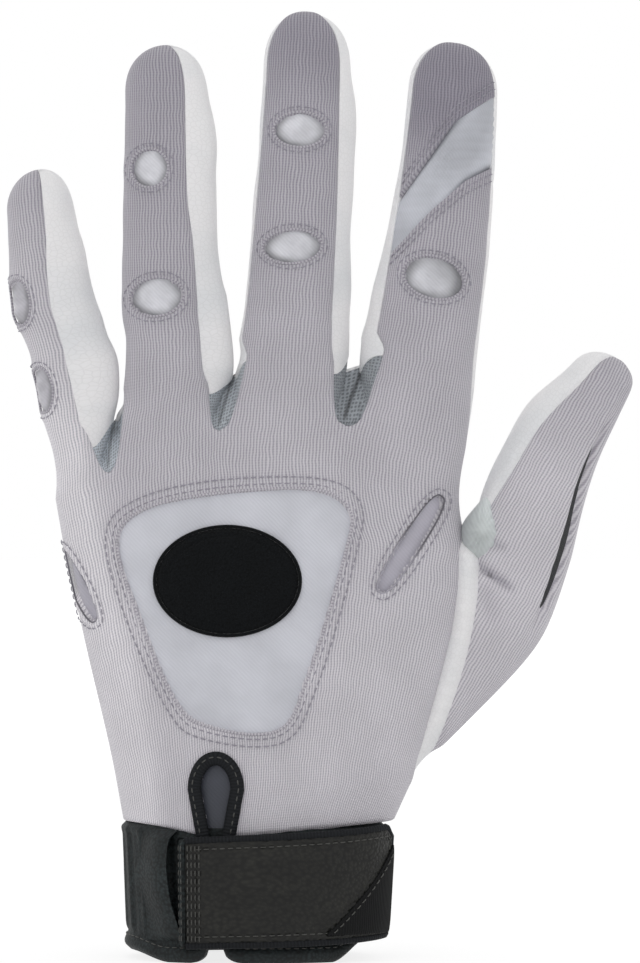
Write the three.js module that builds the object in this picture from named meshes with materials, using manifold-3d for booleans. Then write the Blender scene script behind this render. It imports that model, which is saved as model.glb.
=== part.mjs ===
// A left-hand tennis glove, filled as if worn: a stretch-knit back, a leather palm and
// fingers with fourchettes, knuckle inserts, and a black cuff closed by a hook-and-loop strap.
// Millimetres. The pieces are drawn in the plane of the back of the hand (x towards the thumb,
// y towards the fingertips, z out of the back), and the finished group is stood up on its cuff.
import * as THREE from "three";
import { mergeVertices } from "three/addons/utils/BufferGeometryUtils.js";
import Module from "manifold-3d";

const wasm = await Module();
wasm.setup();

// Driving dimensions: cloth
const KNIT = 1.2; // wall of the stretch knit
const LEATHER = 1.2; // wall of the palm leather
const INSERT = 0.7; // thin stretch cloth behind the cut-outs
const CUFF_WALL = 2.2; // padded cuff
const FIT = 0.35; // gap between neighbouring pieces
const INSERT_MARGIN = 1.8; // how far an insert reaches past its cut-out

// Driving dimensions: hand, as [height, half depth of the section] and edge stations
const CUFF_HEIGHT = 33;
const HAND_LEFT = [[33, -35.2], [48, -38], [76, -44.5], [100, -49.5], [112, -51.5]];
const HAND_RIGHT = [[33, 29.8], [40, 33], [48, 36.8], [76, 45], [96, 49], [112, 47.8], [122, 46.8]];
const HAND_DEPTH = [[33, 19], [50, 18.5], [80, 17], [105, 14], [125, 12]];
const HAND_ROUND = 2.3; // power of the section's superellipse
const LOBE_START = 0.62; // share of the back's height where the knuckle ridges begin

// The five web points along the finger roots, from the little finger's outside to the index's
const WEBS = [[-51.5, 110], [-37.5, 119.5], [-11.8, 127.7], [18.4, 129], [46.8, 121]];
const WEB_RISE = [0, 4, 4, 4, 0]; // half height of the side wall at each web

// Digits. Angles run round the section from the thumb side (0) over the back (90) to the
// little-finger side (180); between frontRight and backRight lies one fourchette, and between
// backLeft and frontLeft the other. Equal angles mean that back and front meet in one seam.
const DIGITS = {
  little: {
    tip: [-56.2, 189.5], bow: -0.3, halfWidth: [9.2, 9.9, 7.7], halfDepth: [10.5, 9.2, 7.2], curl: 7,
    backRight: 74, backLeft: 200, frontRight: -6, frontLeft: 200,
  },
  ring: {
    tip: [-25.2, 219.6], bow: 0.6, halfWidth: [11.6, 11.1, 10.2], halfDepth: [11.5, 9.6, 7.8], curl: 8,
    backRight: 62, backLeft: 188, frontRight: -10, frontLeft: 238,
  },
  middle: {
    tip: [9.2, 227.8], bow: 1, halfWidth: [13.2, 12.1, 10.8], halfDepth: [12, 10, 8], curl: 9,
    backRight: 42, backLeft: 156, frontRight: -28, frontLeft: 214,
  },
  index: {
    tip: [44.6, 220.2], bow: 1.9, halfWidth: [13.4, 12.6, 11], halfDepth: [11.8, 9.8, 7.8], curl: 8,
    backRight: 14, backLeft: 154, frontRight: 14, frontLeft: 214,
  },
};
const TIP_SHARE = 0.13; // share of a digit's length taken by its rounded tip
const SECTION_ROUND = 2.2;
const SIDE_BULGE = 1.0; // how far a fourchette swells outwards
const ROOT_FAN = 0.3; // share of a finger's length over which its root line turns square to it

// Thumb: its root runs along the hand's thumb side, so it is drawn by its two edges.
// Each station is [share of its length, left x, left y, right x, right y].
const THUMB = {
  edges: [[0, 48.6, 95, 36.9, 46], [0.2, 49.6, 106, 54, 63.2], [0.35, 52, 114.5, 65.2, 76.5],
    [0.5, 56, 122.6, 71.9, 94], [0.68, 62, 132.6, 77, 113.6], [0.87, 72.6, 142.4, 85.8, 133.6],
    [1, 77, 148, 90, 140]],
  halfWidth: [18, 13.2, 7.4], halfDepth: [5, 9.4, 6.8], curl: 6,
  backRight: -8, backLeft: 112, frontRight: -8, frontLeft: 112,
};
const THUMB_GAP = 0.5; // clearance between the thumb's root and the hand
const THUMB_SLOT = { from: 41, to: 100, ramp: 7 }; // heights of the opening in the hand's side
// Shares of the hand's width that the back and the palm stand back by beside that opening
const SLOT_BACK = 0.062;
const SLOT_STRIP = 0.016;

// Cut-outs in the back: centre, half axes, turn in degrees
const KNUCKLE_CUTS = {
  little: [[-60.2, 157, 2.6, 5.2, 8], [-54.6, 136, 2.6, 5.2, 8]],
  ring: [[-28.8, 189.2, 4.2, 4.4, 0], [-27, 158.2, 6.2, 4.4, 8]],
  middle: [[7.2, 198.4, 6, 4, 0], [5.4, 170.2, 6.8, 3.8, 4]],
  index: [[39.2, 162.8, 7.2, 4.8, -16]],
};
// Upper and lower edges of the stretch band that crosses the index finger
const BAND_TOP = [[20, 168], [29.3, 181], [44.4, 200.9], [54, 206.9], [66, 212]];
const BAND_LOW = [[20, 160], [31.2, 173.3], [40.8, 184.1], [53.8, 190], [66, 195]];
const BAND_SINK = 0.3;
const BAND_REACH = 10; // how far the cutting region runs past the fingertip
const BACK_SLITS = { index: [33.6, 99.2, 2, 13.4, -33], little: [-46.2, 89.4, 2, 9.6, 27] };
const VENT = [[-36, 100], [-29, 107.5], [-12, 111], [10, 112], [18.8, 107], [17.4, 96], [9, 68], [2, 55.5],
  [-15, 56.5], [-22.5, 63], [-31.5, 84]];
const BADGE = [-10, 90.5, 17.2, 12.8, 0];
const KEYHOLE = { centre: [-12.6, 41.2], halfWidth: 3.9, halfHeight: 6.2, slitHalfWidth: 2.4, rim: 2.4 };
const BADGE_PROUD = 0.6;
const RIM_THICK = 1.0;

// Cuff and strap: angles round the cuff, from the thumb side (0) over the back (90)
const CUFF_LEFT = [108, 247];
const CUFF_RIGHT = [-66, 100];
const CUFF_EDGES = { left: [-34, -35.2], right: [25, 27] }; // at the rim and at the top
const CUFF_RISE = { left: 2.2, right: 5.6 }; // how far the rim rises at the cuff's two sides
const CUFF_FLAT = [0.62, 0.97]; // shares of its half width between which it does
const STRAP_HIGH = [CUFF_HEIGHT - 3.6, CUFF_HEIGHT - 0.8]; // its upper edge at the root and at the free end
const STRAP = { from: 114, to: 17, low: [5.2, 4.4], high: STRAP_HIGH, thick: 1.5 };
const ANCHOR_TURN = 7; // degrees of cuff covered by the strap's sewn root
const PATCH = 0.8; // hook and loop thickness
const PATCH_SPAN = { from: 80, to: 26, low: 8.5, high: 27 };
const LABEL = { turn: 22, height: 17, thick: 0.5, margin: 1 }; // plain corner label
const ELASTIC = { from: 205, to: 333, low: 15, high: 23, thick: 1 };

// Thumb slit along its outer edge, and the round gusset between thumb and hand
const THUMB_SLIT = { angle: 20, halfAngle: 6, from: 0.3, to: 0.7 };
const THUMB_GUSSET = { angle: 146, halfAngle: 22, from: 0.25, to: 0.38 };
const GUSSET = { halfWidth: 4.4, sag: 2.2, thick: 0.8 };
const THUMB_NOTCH = { size: [8, 7, 8], lift: 1 }; // cut from the leather at the thumb's inner root

const DEG = Math.PI / 180;
const clamp = (value, low, high) => Math.min(high, Math.max(low, value));
const mix = (a, b, t) => a + (b - a) * t;
const mixPoint = (p, q, t) => p.map((value, i) => mix(value, q[i], t));
const smooth = (t) => clamp(t, 0, 1) ** 2 * (3 - 2 * clamp(t, 0, 1));

// Value at y of the smooth curve through [y, value] stations (cubic Hermite, mean slopes).
function spline(stations, y) {
  const last = stations.length - 1;
  let i = 0;
  while (i < last - 1 && y > stations[i + 1][0]) i += 1;
  const slope = (k) => {
    const a = stations[Math.max(0, k - 1)];
    const b = stations[Math.min(last, k + 1)];
    return (b[1] - a[1]) / (b[0] - a[0]);
  };
  const [y0, v0] = stations[i];
  const [y1, v1] = stations[i + 1];
  const span = y1 - y0;
  const t = clamp((y - y0) / span, 0, 1);
  const keep = (1 + 2 * t) * (1 - t) ** 2;
  const rise = t * (1 - t) ** 2 * span * slope(i) + t * t * (t - 1) * span * slope(i + 1);
  return keep * v0 + (1 - keep) * v1 + rise;
}

// Height, 0 to 1, of a superellipse arch at share s of its width.
const arch = (s, power) => (1 - Math.abs(2 * clamp(s, 0, 1) - 1) ** power) ** (1 / power);

// Closed solid between two surfaces given on the unit square.
function sheet(outer, inner, columns, rows, spread = (s) => s) {
  const points = [];
  const indices = [];
  const width = columns + 1;
  const layer = width * (rows + 1);
  for (const surface of [outer, inner]) {
    for (let j = 0; j <= rows; j += 1) {
      for (let i = 0; i <= columns; i += 1) points.push(...surface(spread(i / columns), j / rows));
    }
  }
  const quad = (a, b, c, d) => indices.push(a, b, c, a, c, d);
  for (let j = 0; j < rows; j += 1) {
    for (let i = 0; i < columns; i += 1) {
      const a = j * width + i;
      quad(a, a + 1, a + width + 1, a + width);
      quad(layer + a, layer + a + width, layer + a + width + 1, layer + a + 1);
    }
  }
  const wall = (a, b) => quad(a, layer + a, layer + b, b);
  for (let i = 0; i < columns; i += 1) {
    wall(i, i + 1);
    wall(rows * width + i + 1, rows * width + i);
  }
  for (let j = 0; j < rows; j += 1) {
    wall((j + 1) * width, j * width);
    wall(j * width + columns, (j + 1) * width + columns);
  }
  return tidy(points, indices);
}

// Merges shared points, drops triangles that have collapsed and turns the faces outwards.
function tidy(points, indices) {
  const raw = new THREE.BufferGeometry();
  raw.setAttribute("position", new THREE.Float32BufferAttribute(points, 3));
  raw.setIndex(indices);
  const merged = mergeVertices(raw, 1e-3);
  const at = merged.getAttribute("position");
  const corner = (i) => new THREE.Vector3().fromBufferAttribute(at, i);
  const kept = [];
  let volume = 0;
  for (let i = 0; i < merged.index.count; i += 3) {
    const [a, b, c] = [0, 1, 2].map((k) => merged.index.getX(i + k));
    if (a === b || b === c || c === a) continue;
    kept.push(a, b, c);
    volume += corner(a).dot(corner(b).cross(corner(c)));
  }
  if (volume < 0) kept.reverse();
  merged.setIndex(kept);
  return merged;
}

// Booleans
function solid(geometry) {
  const bare = geometry.clone();
  bare.deleteAttribute("normal");
  bare.deleteAttribute("uv");
  const merged = mergeVertices(bare, 1e-4);
  const vertProperties = new Float32Array(merged.getAttribute("position").array);
  const triVerts = new Uint32Array(merged.index.array);
  return new wasm.Manifold(new wasm.Mesh({ numProp: 3, vertProperties, triVerts }));
}

function surfaceOf(manifold) {
  const mesh = manifold.getMesh();
  const geometry = new THREE.BufferGeometry();
  geometry.setAttribute("position", new THREE.Float32BufferAttribute(mesh.vertProperties, 3));
  geometry.setIndex(Array.from(mesh.triVerts));
  return geometry;
}

const less = (left, tool) => left.subtract(solid(tool));
const cut = (body, ...tools) => surfaceOf(tools.reduce(less, solid(body)));
const keep = (body, tool) => surfaceOf(solid(body).intersect(solid(tool)));

// Prisms that run along z through the back of the glove
const PRISM_LOW = -3;
const PRISM_HIGH = 40;

function prism(shape, low = PRISM_LOW) {
  const settings = { depth: PRISM_HIGH - low, bevelEnabled: false, curveSegments: 7 };
  return new THREE.ExtrudeGeometry(shape, settings).translate(0, 0, low);
}

function oval([x, y, halfWidth, halfHeight, turn], grow = 0, low = PRISM_LOW) {
  const shape = new THREE.Shape();
  shape.absellipse(0, 0, halfWidth + grow, halfHeight + grow, 0, 2 * Math.PI);
  return prism(shape, low).rotateZ(turn * DEG).translate(x, y, 0);
}

function rounded(points, grow = 0) {
  const middle = points.reduce((sum, p) => sum.map((v, i) => v + p[i] / points.length), [0, 0]);
  const moved = points.map(([x, y]) => {
    const away = new THREE.Vector2(x - middle[0], y - middle[1]);
    away.setLength(away.length() + grow);
    return new THREE.Vector2(middle[0] + away.x, middle[1] + away.y);
  });
  const outline = new THREE.SplineCurve([...moved, moved[0]]).getPoints(3 * points.length);
  return prism(new THREE.Shape(outline.slice(0, -1)));
}

// Hand
const webWidth = (k) => Math.hypot(WEBS[k][0] - WEBS[k - 1][0], WEBS[k][1] - WEBS[k - 1][1]);
const webReach = (k) => (k === 0 ? 0 : webReach(k - 1) + webWidth(k));
const ROOT_SHARE = WEBS.map((_, k) => webReach(k) / webReach(WEBS.length - 1));
const NAMES = Object.keys(DIGITS);

// Finger and share of its root that lie at share s of the hand's width.
function rootAt(s) {
  const k = Math.min(3, ROOT_SHARE.slice(1, 4).filter((share) => share <= s + 1e-9).length);
  return [k, (s - ROOT_SHARE[k]) / (ROOT_SHARE[k + 1] - ROOT_SHARE[k])];
}

function handPoint(s, t, side) {
  const [k, across] = rootAt(s);
  const [rootX, rootY] = mixPoint(WEBS[k], WEBS[k + 1], across);
  const y = mix(CUFF_HEIGHT, rootY, t);
  const { from, to, ramp } = THUMB_SLOT;
  const opening = smooth((y - from) / ramp) * smooth((to - y) / ramp);
  const standBack = side > 0 ? SLOT_BACK : SLOT_STRIP;
  const share = s * (1 - standBack * opening);
  const x = mix(spline(HAND_LEFT, y), spline(HAND_RIGHT, y), share);
  const z = spline(HAND_DEPTH, y) * arch(share, HAND_ROUND);
  const rise = mix(WEB_RISE[k], WEB_RISE[k + 1], across);
  const lobe = mix(rise, DIGITS[NAMES[k]].halfDepth[0], arch(across, SECTION_ROUND));
  const toRoot = smooth((t - LOBE_START) / (1 - LOBE_START));
  return [mix(x, rootX, toRoot), y, side * mix(z, lobe, toRoot)];
}

// Point of the hand's back (side 1) or palm (side -1), sunk below the surface by depth.
function handLayer(s, t, side, depth) {
  const step = 0.004;
  const [s0, s1] = [clamp(s - step, 0, 1), clamp(s + step, 0, 1)];
  const [t0, t1] = [clamp(t - step, 0, 1), clamp(t + step, 0, 1)];
  const at = (u, v) => new THREE.Vector3(...handPoint(u, v, side));
  const along = at(s1, t).sub(at(s0, t));
  const up = at(s, t1).sub(at(s, t0));
  const normal = along.cross(up).normalize().multiplyScalar(side);
  const [x, y, z] = handPoint(s, t, side);
  return [x - normal.x * depth, y, side * (Math.max(0, side * (z - normal.z * depth)) + FIT / 2)];
}

const FINGER_COLUMNS = 5;
const HAND_ROWS = 9;

// Columns gather at the webs, where the surface turns most.
function handSpread(share) {
  const position = share * 4;
  const k = Math.min(3, Math.floor(position));
  const within = (1 - Math.cos((position - k) * Math.PI)) / 2;
  return mix(ROOT_SHARE[k], ROOT_SHARE[k + 1], within);
}

function handSheet(side, outside, inside, rows = HAND_ROWS) {
  return sheet((s, t) => handLayer(s, t, side, outside), (s, t) => handLayer(s, t, side, inside),
    4 * FINGER_COLUMNS, rows, handSpread);
}

// Digits
const digitEnds = (digit) => [mixPoint(digit.rootLeft, digit.rootRight, 0.5), digit.tip];
const digitLength = (digit) => {
  const [root, tip] = digitEnds(digit);
  return Math.hypot(tip[0] - root[0], tip[1] - root[1]);
};
// Unit vector across a digit, towards the thumb's side.
function digitAcross(digit) {
  const [root, tip] = digitEnds(digit);
  const length = digitLength(digit);
  return [(tip[1] - root[1]) / length, (root[0] - tip[0]) / length];
}

const threeStations = ([low, middle, high]) => [[0, low], [0.45, middle], [1 - TIP_SHARE, high], [1, high]];

// Rounded end: 1 along the digit, falling to 0 at the tip.
function tipRound(v) {
  const s = clamp((v - 1 + TIP_SHARE) / TIP_SHARE, 0, 1);
  return (1 - s ** SECTION_ROUND) ** (1 / SECTION_ROUND);
}

// Centre of a digit at v and the half width towards its right edge, in the plane of the hand.
function digitFrame(digit, v) {
  if (digit.edges) {
    const edge = [1, 2, 3, 4].map((k) => spline(digit.edges.map((row) => [row[0], row[k]]), v));
    const centre = mixPoint(edge.slice(0, 2), edge.slice(2), 0.5);
    return { centre, half: [edge[2] - centre[0], edge[3] - centre[1]] };
  }
  const [root, tip] = digitEnds(digit);
  const across = digitAcross(digit);
  const width = spline(threeStations(digit.halfWidth), v);
  const bow = digit.bow * 4 * v * (1 - v);
  const centre = mixPoint(root, tip, v).map((value, i) => value + across[i] * bow);
  const atRoot = digit.rootRight.map((value, i) => value - root[i]);
  return { centre, half: mixPoint(atRoot, across.map((value) => value * width), smooth(v / ROOT_FAN)) };
}

// Point of a digit's section at an angle, v along it, sunk by depth. rise is the side wall's half height.
function digitPoint(digit, angle, v, depth, rise = 0) {
  const along = v * (1 - depth / digitLength(digit));
  const round = tipRound(v);
  const { centre, half } = digitFrame(digit, along);
  const width = Math.hypot(...half);
  const reach = Math.max(0, width * round - depth) / width;
  const deep = Math.max(0, spline(threeStations(digit.halfDepth), along) * round - depth);
  const power = 2 / SECTION_ROUND;
  const cos = Math.sign(Math.cos(angle)) * Math.abs(Math.cos(angle)) ** power;
  const sin = Math.sign(Math.sin(angle)) * Math.abs(Math.sin(angle)) ** power;
  const wall = rise * (1 - smooth(along / 0.22)) * round;
  const z = sin * deep + Math.sign(sin) * wall * (1 - Math.abs(sin));
  return [centre[0] + half[0] * reach * cos, centre[1] + half[1] * reach * cos, z - digit.curl * along ** 2];
}

// Seam angles open from the root and close again at the tip.
const seamOpen = (v) => smooth(v / 0.2) * (1 - smooth((v - 0.84) / 0.13));

function seamAngles(digit, v) {
  const open = seamOpen(v);
  return {
    backRight: digit.backRight * DEG * open,
    backLeft: Math.PI + (digit.backLeft * DEG - Math.PI) * open,
    frontRight: digit.frontRight * DEG * open,
    frontLeft: Math.PI + (digit.frontLeft * DEG - Math.PI) * open,
  };
}

// Angle that a gap of half FIT takes at v.
const gapAngle = (digit, v) =>
  digit.seamGap / 2 / Math.max(3, spline(threeStations(digit.halfWidth), v) * tipRound(v));

const DIGIT_ROWS = 12;
const rowAlong = (digit, t) => mix(digit.rootGap / digitLength(digit), 1, 1 - (1 - t) ** 1.35);

function digitPanel(digit, side, outside, inside, columns = 6) {
  const point = (s, t, depth) => {
    const v = rowAlong(digit, t);
    const seam = seamAngles(digit, v);
    const gap = gapAngle(digit, v);
    const from = side > 0 ? seam.backLeft - gap : seam.frontLeft + gap;
    const to = side > 0 ? seam.backRight + gap : seam.frontRight + 2 * Math.PI - gap;
    const angle = mix(from, to, s);
    const rise = Math.cos(angle) < 0 ? digit.riseLeft : digit.riseRight;
    const [x, y, z] = digitPoint(digit, angle, v, depth, rise);
    return [x, y, z + side * FIT / 2];
  };
  return sheet((s, t) => point(s, t, outside), (s, t) => point(s, t, inside), columns, DIGIT_ROWS);
}

// Side wall between the back's seam and the front's, swelling a little between them.
function fourchette(digit, side) {
  const point = (s, t, depth) => {
    const v = rowAlong(digit, mix(1, DIGIT_ROWS - 2, t) / DIGIT_ROWS);
    const seam = seamAngles(digit, v);
    const gap = 2.2 * gapAngle(digit, v);
    const [front, back] = side > 0
      ? [seam.frontRight + gap, seam.backRight - gap]
      : [seam.frontLeft - gap, seam.backLeft + gap];
    const rise = side > 0 ? digit.riseRight : digit.riseLeft;
    const a = digitPoint(digit, front, v, depth + FIT, rise);
    const b = digitPoint(digit, back, v, depth + FIT, rise);
    const across = digitAcross(digit);
    const swell = side * SIDE_BULGE * 4 * s * (1 - s) * seamOpen(v);
    const [x, y, z] = mixPoint(a, b, mix(0.06, 0.94, s));
    return [x + across[0] * swell, y + across[1] * swell, z];
  };
  return sheet((s, t) => point(s, t, 0), (s, t) => point(s, t, LEATHER), 2, DIGIT_ROWS - 3);
}

NAMES.forEach((name, k) => {
  const inset = FIT / 2;
  const step = new THREE.Vector2(WEBS[k + 1][0] - WEBS[k][0], WEBS[k + 1][1] - WEBS[k][1]).setLength(inset);
  Object.assign(DIGITS[name], {
    rootLeft: [WEBS[k][0] + step.x, WEBS[k][1] + step.y],
    rootRight: [WEBS[k + 1][0] - step.x, WEBS[k + 1][1] - step.y],
    riseLeft: WEB_RISE[k],
    riseRight: WEB_RISE[k + 1],
    rootGap: 3 * FIT,
    seamGap: FIT,
  });
});
const [thumbRoot, thumbEnd] = [THUMB.edges[0], THUMB.edges[THUMB.edges.length - 1]];
Object.assign(THUMB, {
  rootLeft: thumbRoot.slice(1, 3),
  rootRight: thumbRoot.slice(3, 5),
  tip: mixPoint(thumbEnd.slice(1, 3), thumbEnd.slice(3, 5), 0.5),
  riseLeft: 0,
  riseRight: 0,
  rootGap: THUMB_GAP,
  seamGap: 4 * FIT,
});

// Cuff
const CUFF_FROM = 0;
function cuffPoint(angle, y, depth) {
  const up = y / CUFF_HEIGHT;
  const [left, right] = [mix(...CUFF_EDGES.left, up), mix(...CUFF_EDGES.right, up)];
  const power = 2 / HAND_ROUND;
  const cos = Math.sign(Math.cos(angle)) * Math.abs(Math.cos(angle)) ** power;
  const sin = Math.sign(Math.sin(angle)) * Math.abs(Math.sin(angle)) ** power;
  const half = (right - left) / 2 - depth;
  return [(left + right) / 2 + half * cos, y, (spline(HAND_DEPTH, CUFF_HEIGHT) - depth) * sin];
}

// Band round the cuff between two angles; bottom and top give its edges at share s.
function cuffBand([from, to], [bottom, top], [outside, inside], columns, rows = 3) {
  const point = (s, t, depth) => cuffPoint(mix(from, to, s) * DEG, mix(bottom(s), top(s), t), depth);
  return sheet((s, t) => point(s, t, outside), (s, t) => point(s, t, inside), columns, rows);
}

const level = (height) => () => height;
// Lower edge of the cuff between two angles: flat at the back and the palm, higher at both sides.
const cuffRim = ([from, to]) => (s) => {
  const outward = Math.abs(Math.cos(mix(from, to, s) * DEG));
  const rise = Math.cos(mix(from, to, s) * DEG) < 0 ? CUFF_RISE.left : CUFF_RISE.right;
  return CUFF_FROM + rise * smooth((outward - CUFF_FLAT[0]) / (CUFF_FLAT[1] - CUFF_FLAT[0]));
};

// Materials
const finish = (color, roughness) => new THREE.MeshStandardMaterial({ color, roughness, metalness: 0 });
const KNIT_GREY = finish(0xaeabb2, 0.85);
const LEATHER_WHITE = finish(0xe9eceb, 0.55);
const INSERT_GREY = finish(0xb9bfcd, 0.6);
const MESH_GREY = finish(0x858c9c, 0.8);
const CUFF_BLACK = finish(0x24292a, 0.6);
const BADGE_BLACK = finish(0x0c0e10, 0.9);
const PATCH_BLACK = finish(0x15161a, 0.95);

const glove = new THREE.Group();
function add(name, geometry, material) {
  const mesh = new THREE.Mesh(geometry, material);
  mesh.name = name;
  glove.add(mesh);
  return mesh;
}

// Keyhole: a drop-shaped opening that runs down into the wrist slit
function keyhole(grow, low = PRISM_LOW) {
  const { centre, halfWidth, halfHeight, slitHalfWidth } = KEYHOLE;
  const shape = new THREE.Shape();
  const bottom = CUFF_HEIGHT - 2 - centre[1];
  shape.moveTo(-slitHalfWidth - grow, bottom);
  shape.lineTo(slitHalfWidth + grow, bottom);
  shape.lineTo(halfWidth + grow, 0);
  shape.absellipse(0, 0, halfWidth + grow, halfHeight + grow, 0, Math.PI);
  shape.lineTo(-slitHalfWidth - grow, bottom);
  return prism(shape, low).translate(centre[0], centre[1], 0);
}

// Hand pieces
const insertTop = KNIT + FIT;
const insertSheet = handSheet(1, insertTop, insertTop + INSERT);
const slits = Object.values(BACK_SLITS).map((slit) => oval(slit));
const backHoles = [rounded(VENT), keyhole(0), ...slits, thumbStrip(2 * FIT)];
add("hand_back", cut(handSheet(1, 0, KNIT), ...backHoles), KNIT_GREY);
add("palm_leather", handSheet(-1, 0, LEATHER), LEATHER_WHITE);
add("vent_insert", keep(insertSheet, rounded(VENT, INSERT_MARGIN)), INSERT_GREY);
add("oval_badge", keep(handSheet(1, -BADGE_PROUD, KNIT), oval(BADGE)), BADGE_BLACK);
for (const [name, slit] of Object.entries(BACK_SLITS)) {
  add(`${name}_side_slit_insert`, keep(insertSheet, oval(slit, INSERT_MARGIN)), MESH_GREY);
}
const rimSheet = handSheet(1, -FIT - RIM_THICK, -FIT);
add("keyhole_binding", cut(keep(rimSheet, keyhole(KEYHOLE.rim)), keyhole(0)), CUFF_BLACK);
add("keyhole_tongue", keep(insertSheet, keyhole(INSERT_MARGIN)), CUFF_BLACK);

// Gussets: troughs of mesh across the webs between the fingers
function webGusset([x, y], rise) {
  const half = rise - KNIT;
  const point = (s, t, drop) => {
    const across = 2 * s - 1;
    return [x + GUSSET.halfWidth * across, y - drop - GUSSET.sag * (1 - across ** 2), half * (2 * t - 1)];
  };
  return sheet((s, t) => point(s, t, FIT), (s, t) => point(s, t, FIT + GUSSET.thick), 6, 2);
}
for (const k of [1, 2, 3]) {
  add(`web_gusset_${NAMES[k - 1]}_${NAMES[k]}`, webGusset(WEBS[k], WEB_RISE[k]), MESH_GREY);
}

// Leather strip between the back and the thumb's root
function thumbStrip(grow) {
  const [low, high] = [THUMB_SLOT.from + THUMB_SLOT.ramp - grow, THUMB_SLOT.to - THUMB_SLOT.ramp + grow];
  const point = (s, t, depth) => {
    const y = mix(low, high, t);
    const width = spline(HAND_RIGHT, y) - spline(HAND_LEFT, y);
    const share = mix(1 - SLOT_BACK + (FIT - 2 * grow) / width, 1 - SLOT_STRIP, s);
    const deep = spline(HAND_DEPTH, y);
    const slope = deep * (arch(share + 1e-4, HAND_ROUND) - arch(share - 1e-4, HAND_ROUND)) / (2e-4 * width);
    const lean = Math.hypot(1, slope);
    const x = spline(HAND_LEFT, y) + share * width + slope * depth / lean;
    return [x, y, deep * arch(share, HAND_ROUND) - depth / lean];
  };
  return sheet((s, t) => point(s, t, -grow), (s, t) => point(s, t, LEATHER + grow), 3, 8);
}
add("thumb_side_leather", thumbStrip(0), LEATHER_WHITE);

// Fingers
function bandRegion(edge, reach) {
  const shape = new THREE.Shape(edge.map(([x, y]) => new THREE.Vector2(x, y)));
  shape.lineTo(edge[edge.length - 1][0], reach);
  shape.lineTo(edge[0][0], reach);
  return prism(shape, -PRISM_HIGH);
}
const raised = (edge, by) => edge.map(([x, y]) => [x, y + by]);

for (const name of NAMES) {
  const digit = DIGITS[name];
  const holes = KNUCKLE_CUTS[name];
  const panel = digitPanel(digit, 1, 0, KNIT);
  const under = digitPanel(digit, 1, insertTop, insertTop + INSERT);
  let back = cut(panel, ...holes.map((hole) => oval(hole)));
  if (name === "index") {
    const beyond = digit.tip[1] + BAND_REACH;
    const above = keep(digitPanel(digit, 1, BAND_SINK, KNIT), bandRegion(raised(BAND_LOW, FIT), beyond));
    back = cut(back, bandRegion(BAND_LOW, beyond));
    add("index_stretch_band", cut(above, bandRegion(BAND_TOP, beyond)), INSERT_GREY);
    add("index_tip_back", keep(panel, bandRegion(raised(BAND_TOP, FIT), beyond)), KNIT_GREY);
  }
  add(`${name}_back`, back, KNIT_GREY);
  holes.forEach((hole, i) => {
    add(`${name}_knuckle_insert_${i + 1}`, keep(under, oval(hole, INSERT_MARGIN)), INSERT_GREY);
  });
  add(`${name}_front`, digitPanel(digit, -1, 0, LEATHER), LEATHER_WHITE);
  if (digit.backRight !== digit.frontRight) {
    add(`${name}_fourchette_thumbward`, fourchette(digit, 1), LEATHER_WHITE);
  }
  if (digit.backLeft !== digit.frontLeft) {
    add(`${name}_fourchette_outward`, fourchette(digit, -1), LEATHER_WHITE);
  }
}

// Thumb
function thumbPatch(patch, grow, side, outside, inside) {
  const longer = grow / digitLength(THUMB);
  const point = (s, t, depth) => {
    const v = mix(patch.from - longer, patch.to + longer, t);
    const half = patch.halfAngle * Math.sqrt(Math.max(0.03, 1 - (2 * t - 1) ** 2)) + 4 * grow;
    const [x, y, z] = digitPoint(THUMB, (patch.angle + half * (2 * s - 1)) * DEG, v, depth);
    return [x, y, z + side * FIT / 2];
  };
  return sheet((s, t) => point(s, t, outside), (s, t) => point(s, t, inside), 3, 8);
}
const slitTop = insertTop + 2 * FIT;
const gussetOut = 3 * FIT + GUSSET.thick;
add("thumb_back", cut(digitPanel(THUMB, 1, 0, KNIT), thumbPatch(THUMB_SLIT, 0, 1, -2, insertTop)), KNIT_GREY);
add("thumb_slit_insert", thumbPatch(THUMB_SLIT, 1, 1, slitTop, slitTop + INSERT), MESH_GREY);
// The leather stops short of the back at the tight inner end of the thumb's root.
const [notchX, notchY] = THUMB.rootLeft;
const notchZ = THUMB_NOTCH.size[2] / 2 - FIT;
const notch = new THREE.BoxGeometry(...THUMB_NOTCH.size).translate(notchX, notchY + THUMB_NOTCH.lift, notchZ);
add("thumb_front", cut(digitPanel(THUMB, -1, 0, LEATHER, 9), notch), LEATHER_WHITE);
add("thumb_web_gusset", thumbPatch(THUMB_GUSSET, 0, -1, -gussetOut, -3 * FIT), MESH_GREY);

// Cuff
const CUFF_TURN = FIT / spline(HAND_DEPTH, CUFF_HEIGHT) / DEG; // degrees of cuff that one gap takes
const CUFF_PALM = [CUFF_LEFT[1] + CUFF_TURN, CUFF_RIGHT[0] + 360 - CUFF_TURN];
const cuffTop = level(CUFF_HEIGHT - FIT);
const cuffWall = [0, CUFF_WALL];
const elasticEdges = [level(ELASTIC.low), level(ELASTIC.high)];
const elasticWall = [-FIT - ELASTIC.thick, -FIT];
add("cuff_left_lobe", cuffBand(CUFF_LEFT, [cuffRim(CUFF_LEFT), cuffTop], cuffWall, 14), CUFF_BLACK);
add("cuff_right_lobe", cuffBand(CUFF_RIGHT, [cuffRim(CUFF_RIGHT), cuffTop], cuffWall, 16), CUFF_BLACK);
add("cuff_palm_band", cuffBand(CUFF_PALM, [level(CUFF_FROM), cuffTop], cuffWall, 6), CUFF_BLACK);
add("wrist_elastic", cuffBand([ELASTIC.from, ELASTIC.to], elasticEdges, elasticWall, 14, 1), CUFF_BLACK);

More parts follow.
